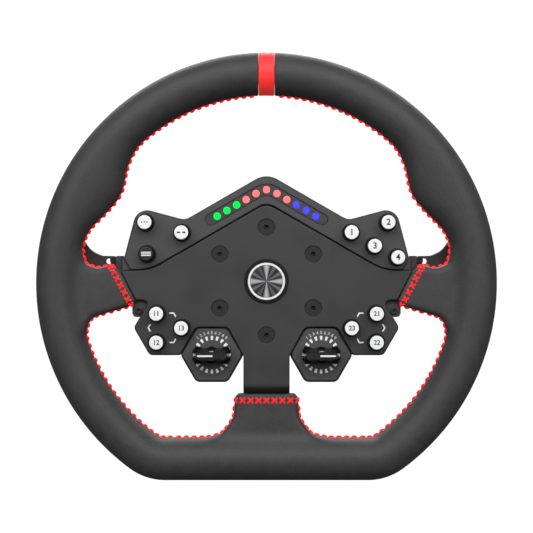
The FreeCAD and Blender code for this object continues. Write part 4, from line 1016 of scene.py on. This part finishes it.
def make_side_hardware():
    """Spacer between the pod and each paddle bracket, and a knurled screw on the front of each paddle with a
    painted black hexagon for the shade in its socket.
    """
    inner, outer, low, high = 87.6 * MM, 94.2 * MM, 6.8 * MM, 15.4 * MM
    spacer_front, spacer_back, spacer_bevel = -CORE_FRONT - 0.2 * MM, -CORE_FRONT + 14 * MM, 0.35 * MM
    screw_x, screw_z, screw_radius, knurl, teeth = 101.8 * MM, 13.6 * MM, 2.3 * MM, 0.15 * MM, 20
    socket_shade_radius, head_height, sunk, head_bevel = 1.1 * MM, 1.4 * MM, 0.5 * MM, 0.06 * MM
    for side, sign in (("left", -1), ("right", 1)):
        corners = [(inner, low), (outer, low), (outer, high), (inner, high)]
        prism(f"side_spacer_{side}", mirror_x(corners, sign), spacer_front, spacer_back, spacer_bevel,
              PANEL, "wheel")
        paddle = f"paddle_{side}"
        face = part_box(paddle)[0].y
        ring = []
        for step in range(2 * teeth):
            angle = math.pi * step / teeth
            radius = screw_radius + (knurl if step % 2 else 0)
            ring.append((sign * screw_x + radius * math.cos(angle), screw_z + radius * math.sin(angle)))
        prism(f"paddle_thumb_screw_{side}", ring, face - head_height, face + sunk, head_bevel,
              HUB_SCREWS, paddle)
        # painted shade: a flat black hexagon on the screw head stands for the shaded hollow of a hex socket
        turns = [math.radians(60 * step) for step in range(6)]
        socket = [(sign * screw_x + socket_shade_radius * math.cos(turn), screw_z + socket_shade_radius * math.sin(turn))
                  for turn in turns]
        raised(f"paddle_thumb_socket_shade_{side}", [socket], face - head_height, BLACK_PRINT, paddle)


# ---------------------------------------------------------------- studio

def make_studio():
    """Pale floor well below the wheel, white surroundings and a wide soft light above the front."""
    half, level, glare = 6.0, -0.45, 1.05
    floor = bpy.data.meshes.new("floor")
    floor.from_pydata([(-half, -half, level), (half, -half, level), (half, half, level),
                       (-half, half, level)], [], [(0, 1, 2, 3)])
    piece = linked("floor", floor)
    material, tree, shader, place = new_material("floor_paper")
    haze = noise(tree, place, 3.0, 2.0)
    feed(tree, shader, Base_Color=ramp(tree, haze, [(0.3, grey(0.06)), (0.7, grey(0.075))]))
    shader.inputs["Roughness"].default_value = 0.9
    white = add(tree, "ShaderNodeEmission", {"Color": (1, 1, 1, 1), "Strength": glare})
    seen = add(tree, "ShaderNodeLightPath").outputs["Is Camera Ray"]
    mix = add(tree, "ShaderNodeMixShader", {"Fac": seen, 1: shader.outputs["BSDF"],
                                            2: white.outputs["Emission"]})
    tree.links.new(mix.outputs["Shader"], tree.nodes["Material Output"].inputs["Surface"])
    floor.materials.append(material)

    world = bpy.data.worlds.new("studio")
    bpy.context.scene.world = world
    world.use_nodes = True
    tree = world.node_tree
    back = tree.nodes["Background"]
    direction = add(tree, "ShaderNodeTexCoord").outputs["Generated"]
    aim = add(tree, "ShaderNodeSeparateXYZ", {"Vector": direction}).outputs
    height = mapped(tree, aim["Z"], -0.05, 0.35, 0.04, 1.0)
    front = mapped(tree, aim["Y"], 0.1, -0.6, 0.05, 0.46)
    tree.links.new(maths(tree, "MULTIPLY", height, front), back.inputs["Color"])
    white = add(tree, "ShaderNodeBackground", {"Color": (1, 1, 1, 1), "Strength": glare})
    seen = add(tree, "ShaderNodeLightPath").outputs["Is Camera Ray"]
    mix = add(tree, "ShaderNodeMixShader", {"Fac": seen, 1: back.outputs["Background"],
                                            2: white.outputs["Background"]})
    tree.links.new(mix.outputs["Shader"], tree.nodes["World Output"].inputs["Surface"])

    soft_light("key", (0.0, -1.3, 0.98), (2.6, 0.8), 30)
    for side, sign in (("left", -1), ("right", 1)):
        soft_light(f"front_{side}", (sign * 1.3, -1.5, 0.35), (0.8, 0.9), 6)
    soft_light("rear", (0.0, 1.3, 1.25), (2.2, 0.9), 30)


def soft_light(name, place, size, power):
    data = bpy.data.lights.new(name, "AREA")
    data.shape = "RECTANGLE"
    data.size, data.size_y = size
    data.energy = power
    lamp = linked(name, data)
    lamp.location = place
    lamp.rotation_euler = (-Vector(place)).to_track_quat("-Z", "Y").to_euler()


def make_camera():
    """Straight ahead of the wheel, at a seated driver's distance."""
    half_view = math.radians(10.865)
    distance = 0.9
    aim_height = 9.6 * MM
    data = bpy.data.cameras.new("camera")
    data.sensor_width = 36
    data.lens = data.sensor_width / 2 / math.tan(half_view)
    camera = linked("camera", data)
    plate_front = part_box("face_plate")[0].y
    camera.location = (0, plate_front - distance, aim_height)
    camera.rotation_euler = (math.pi / 2, 0, 0)
    bpy.context.scene.camera = camera


def set_view():
    view = bpy.context.scene.view_settings
    view.view_transform = "Standard"
    view.look = "None"


make_camera()
make_studio()
set_view()
dress_nodes()
make_grip()
make_stitching()
make_cap_marks()
make_cluster_marks()
make_dial_marks()
make_side_hardware()
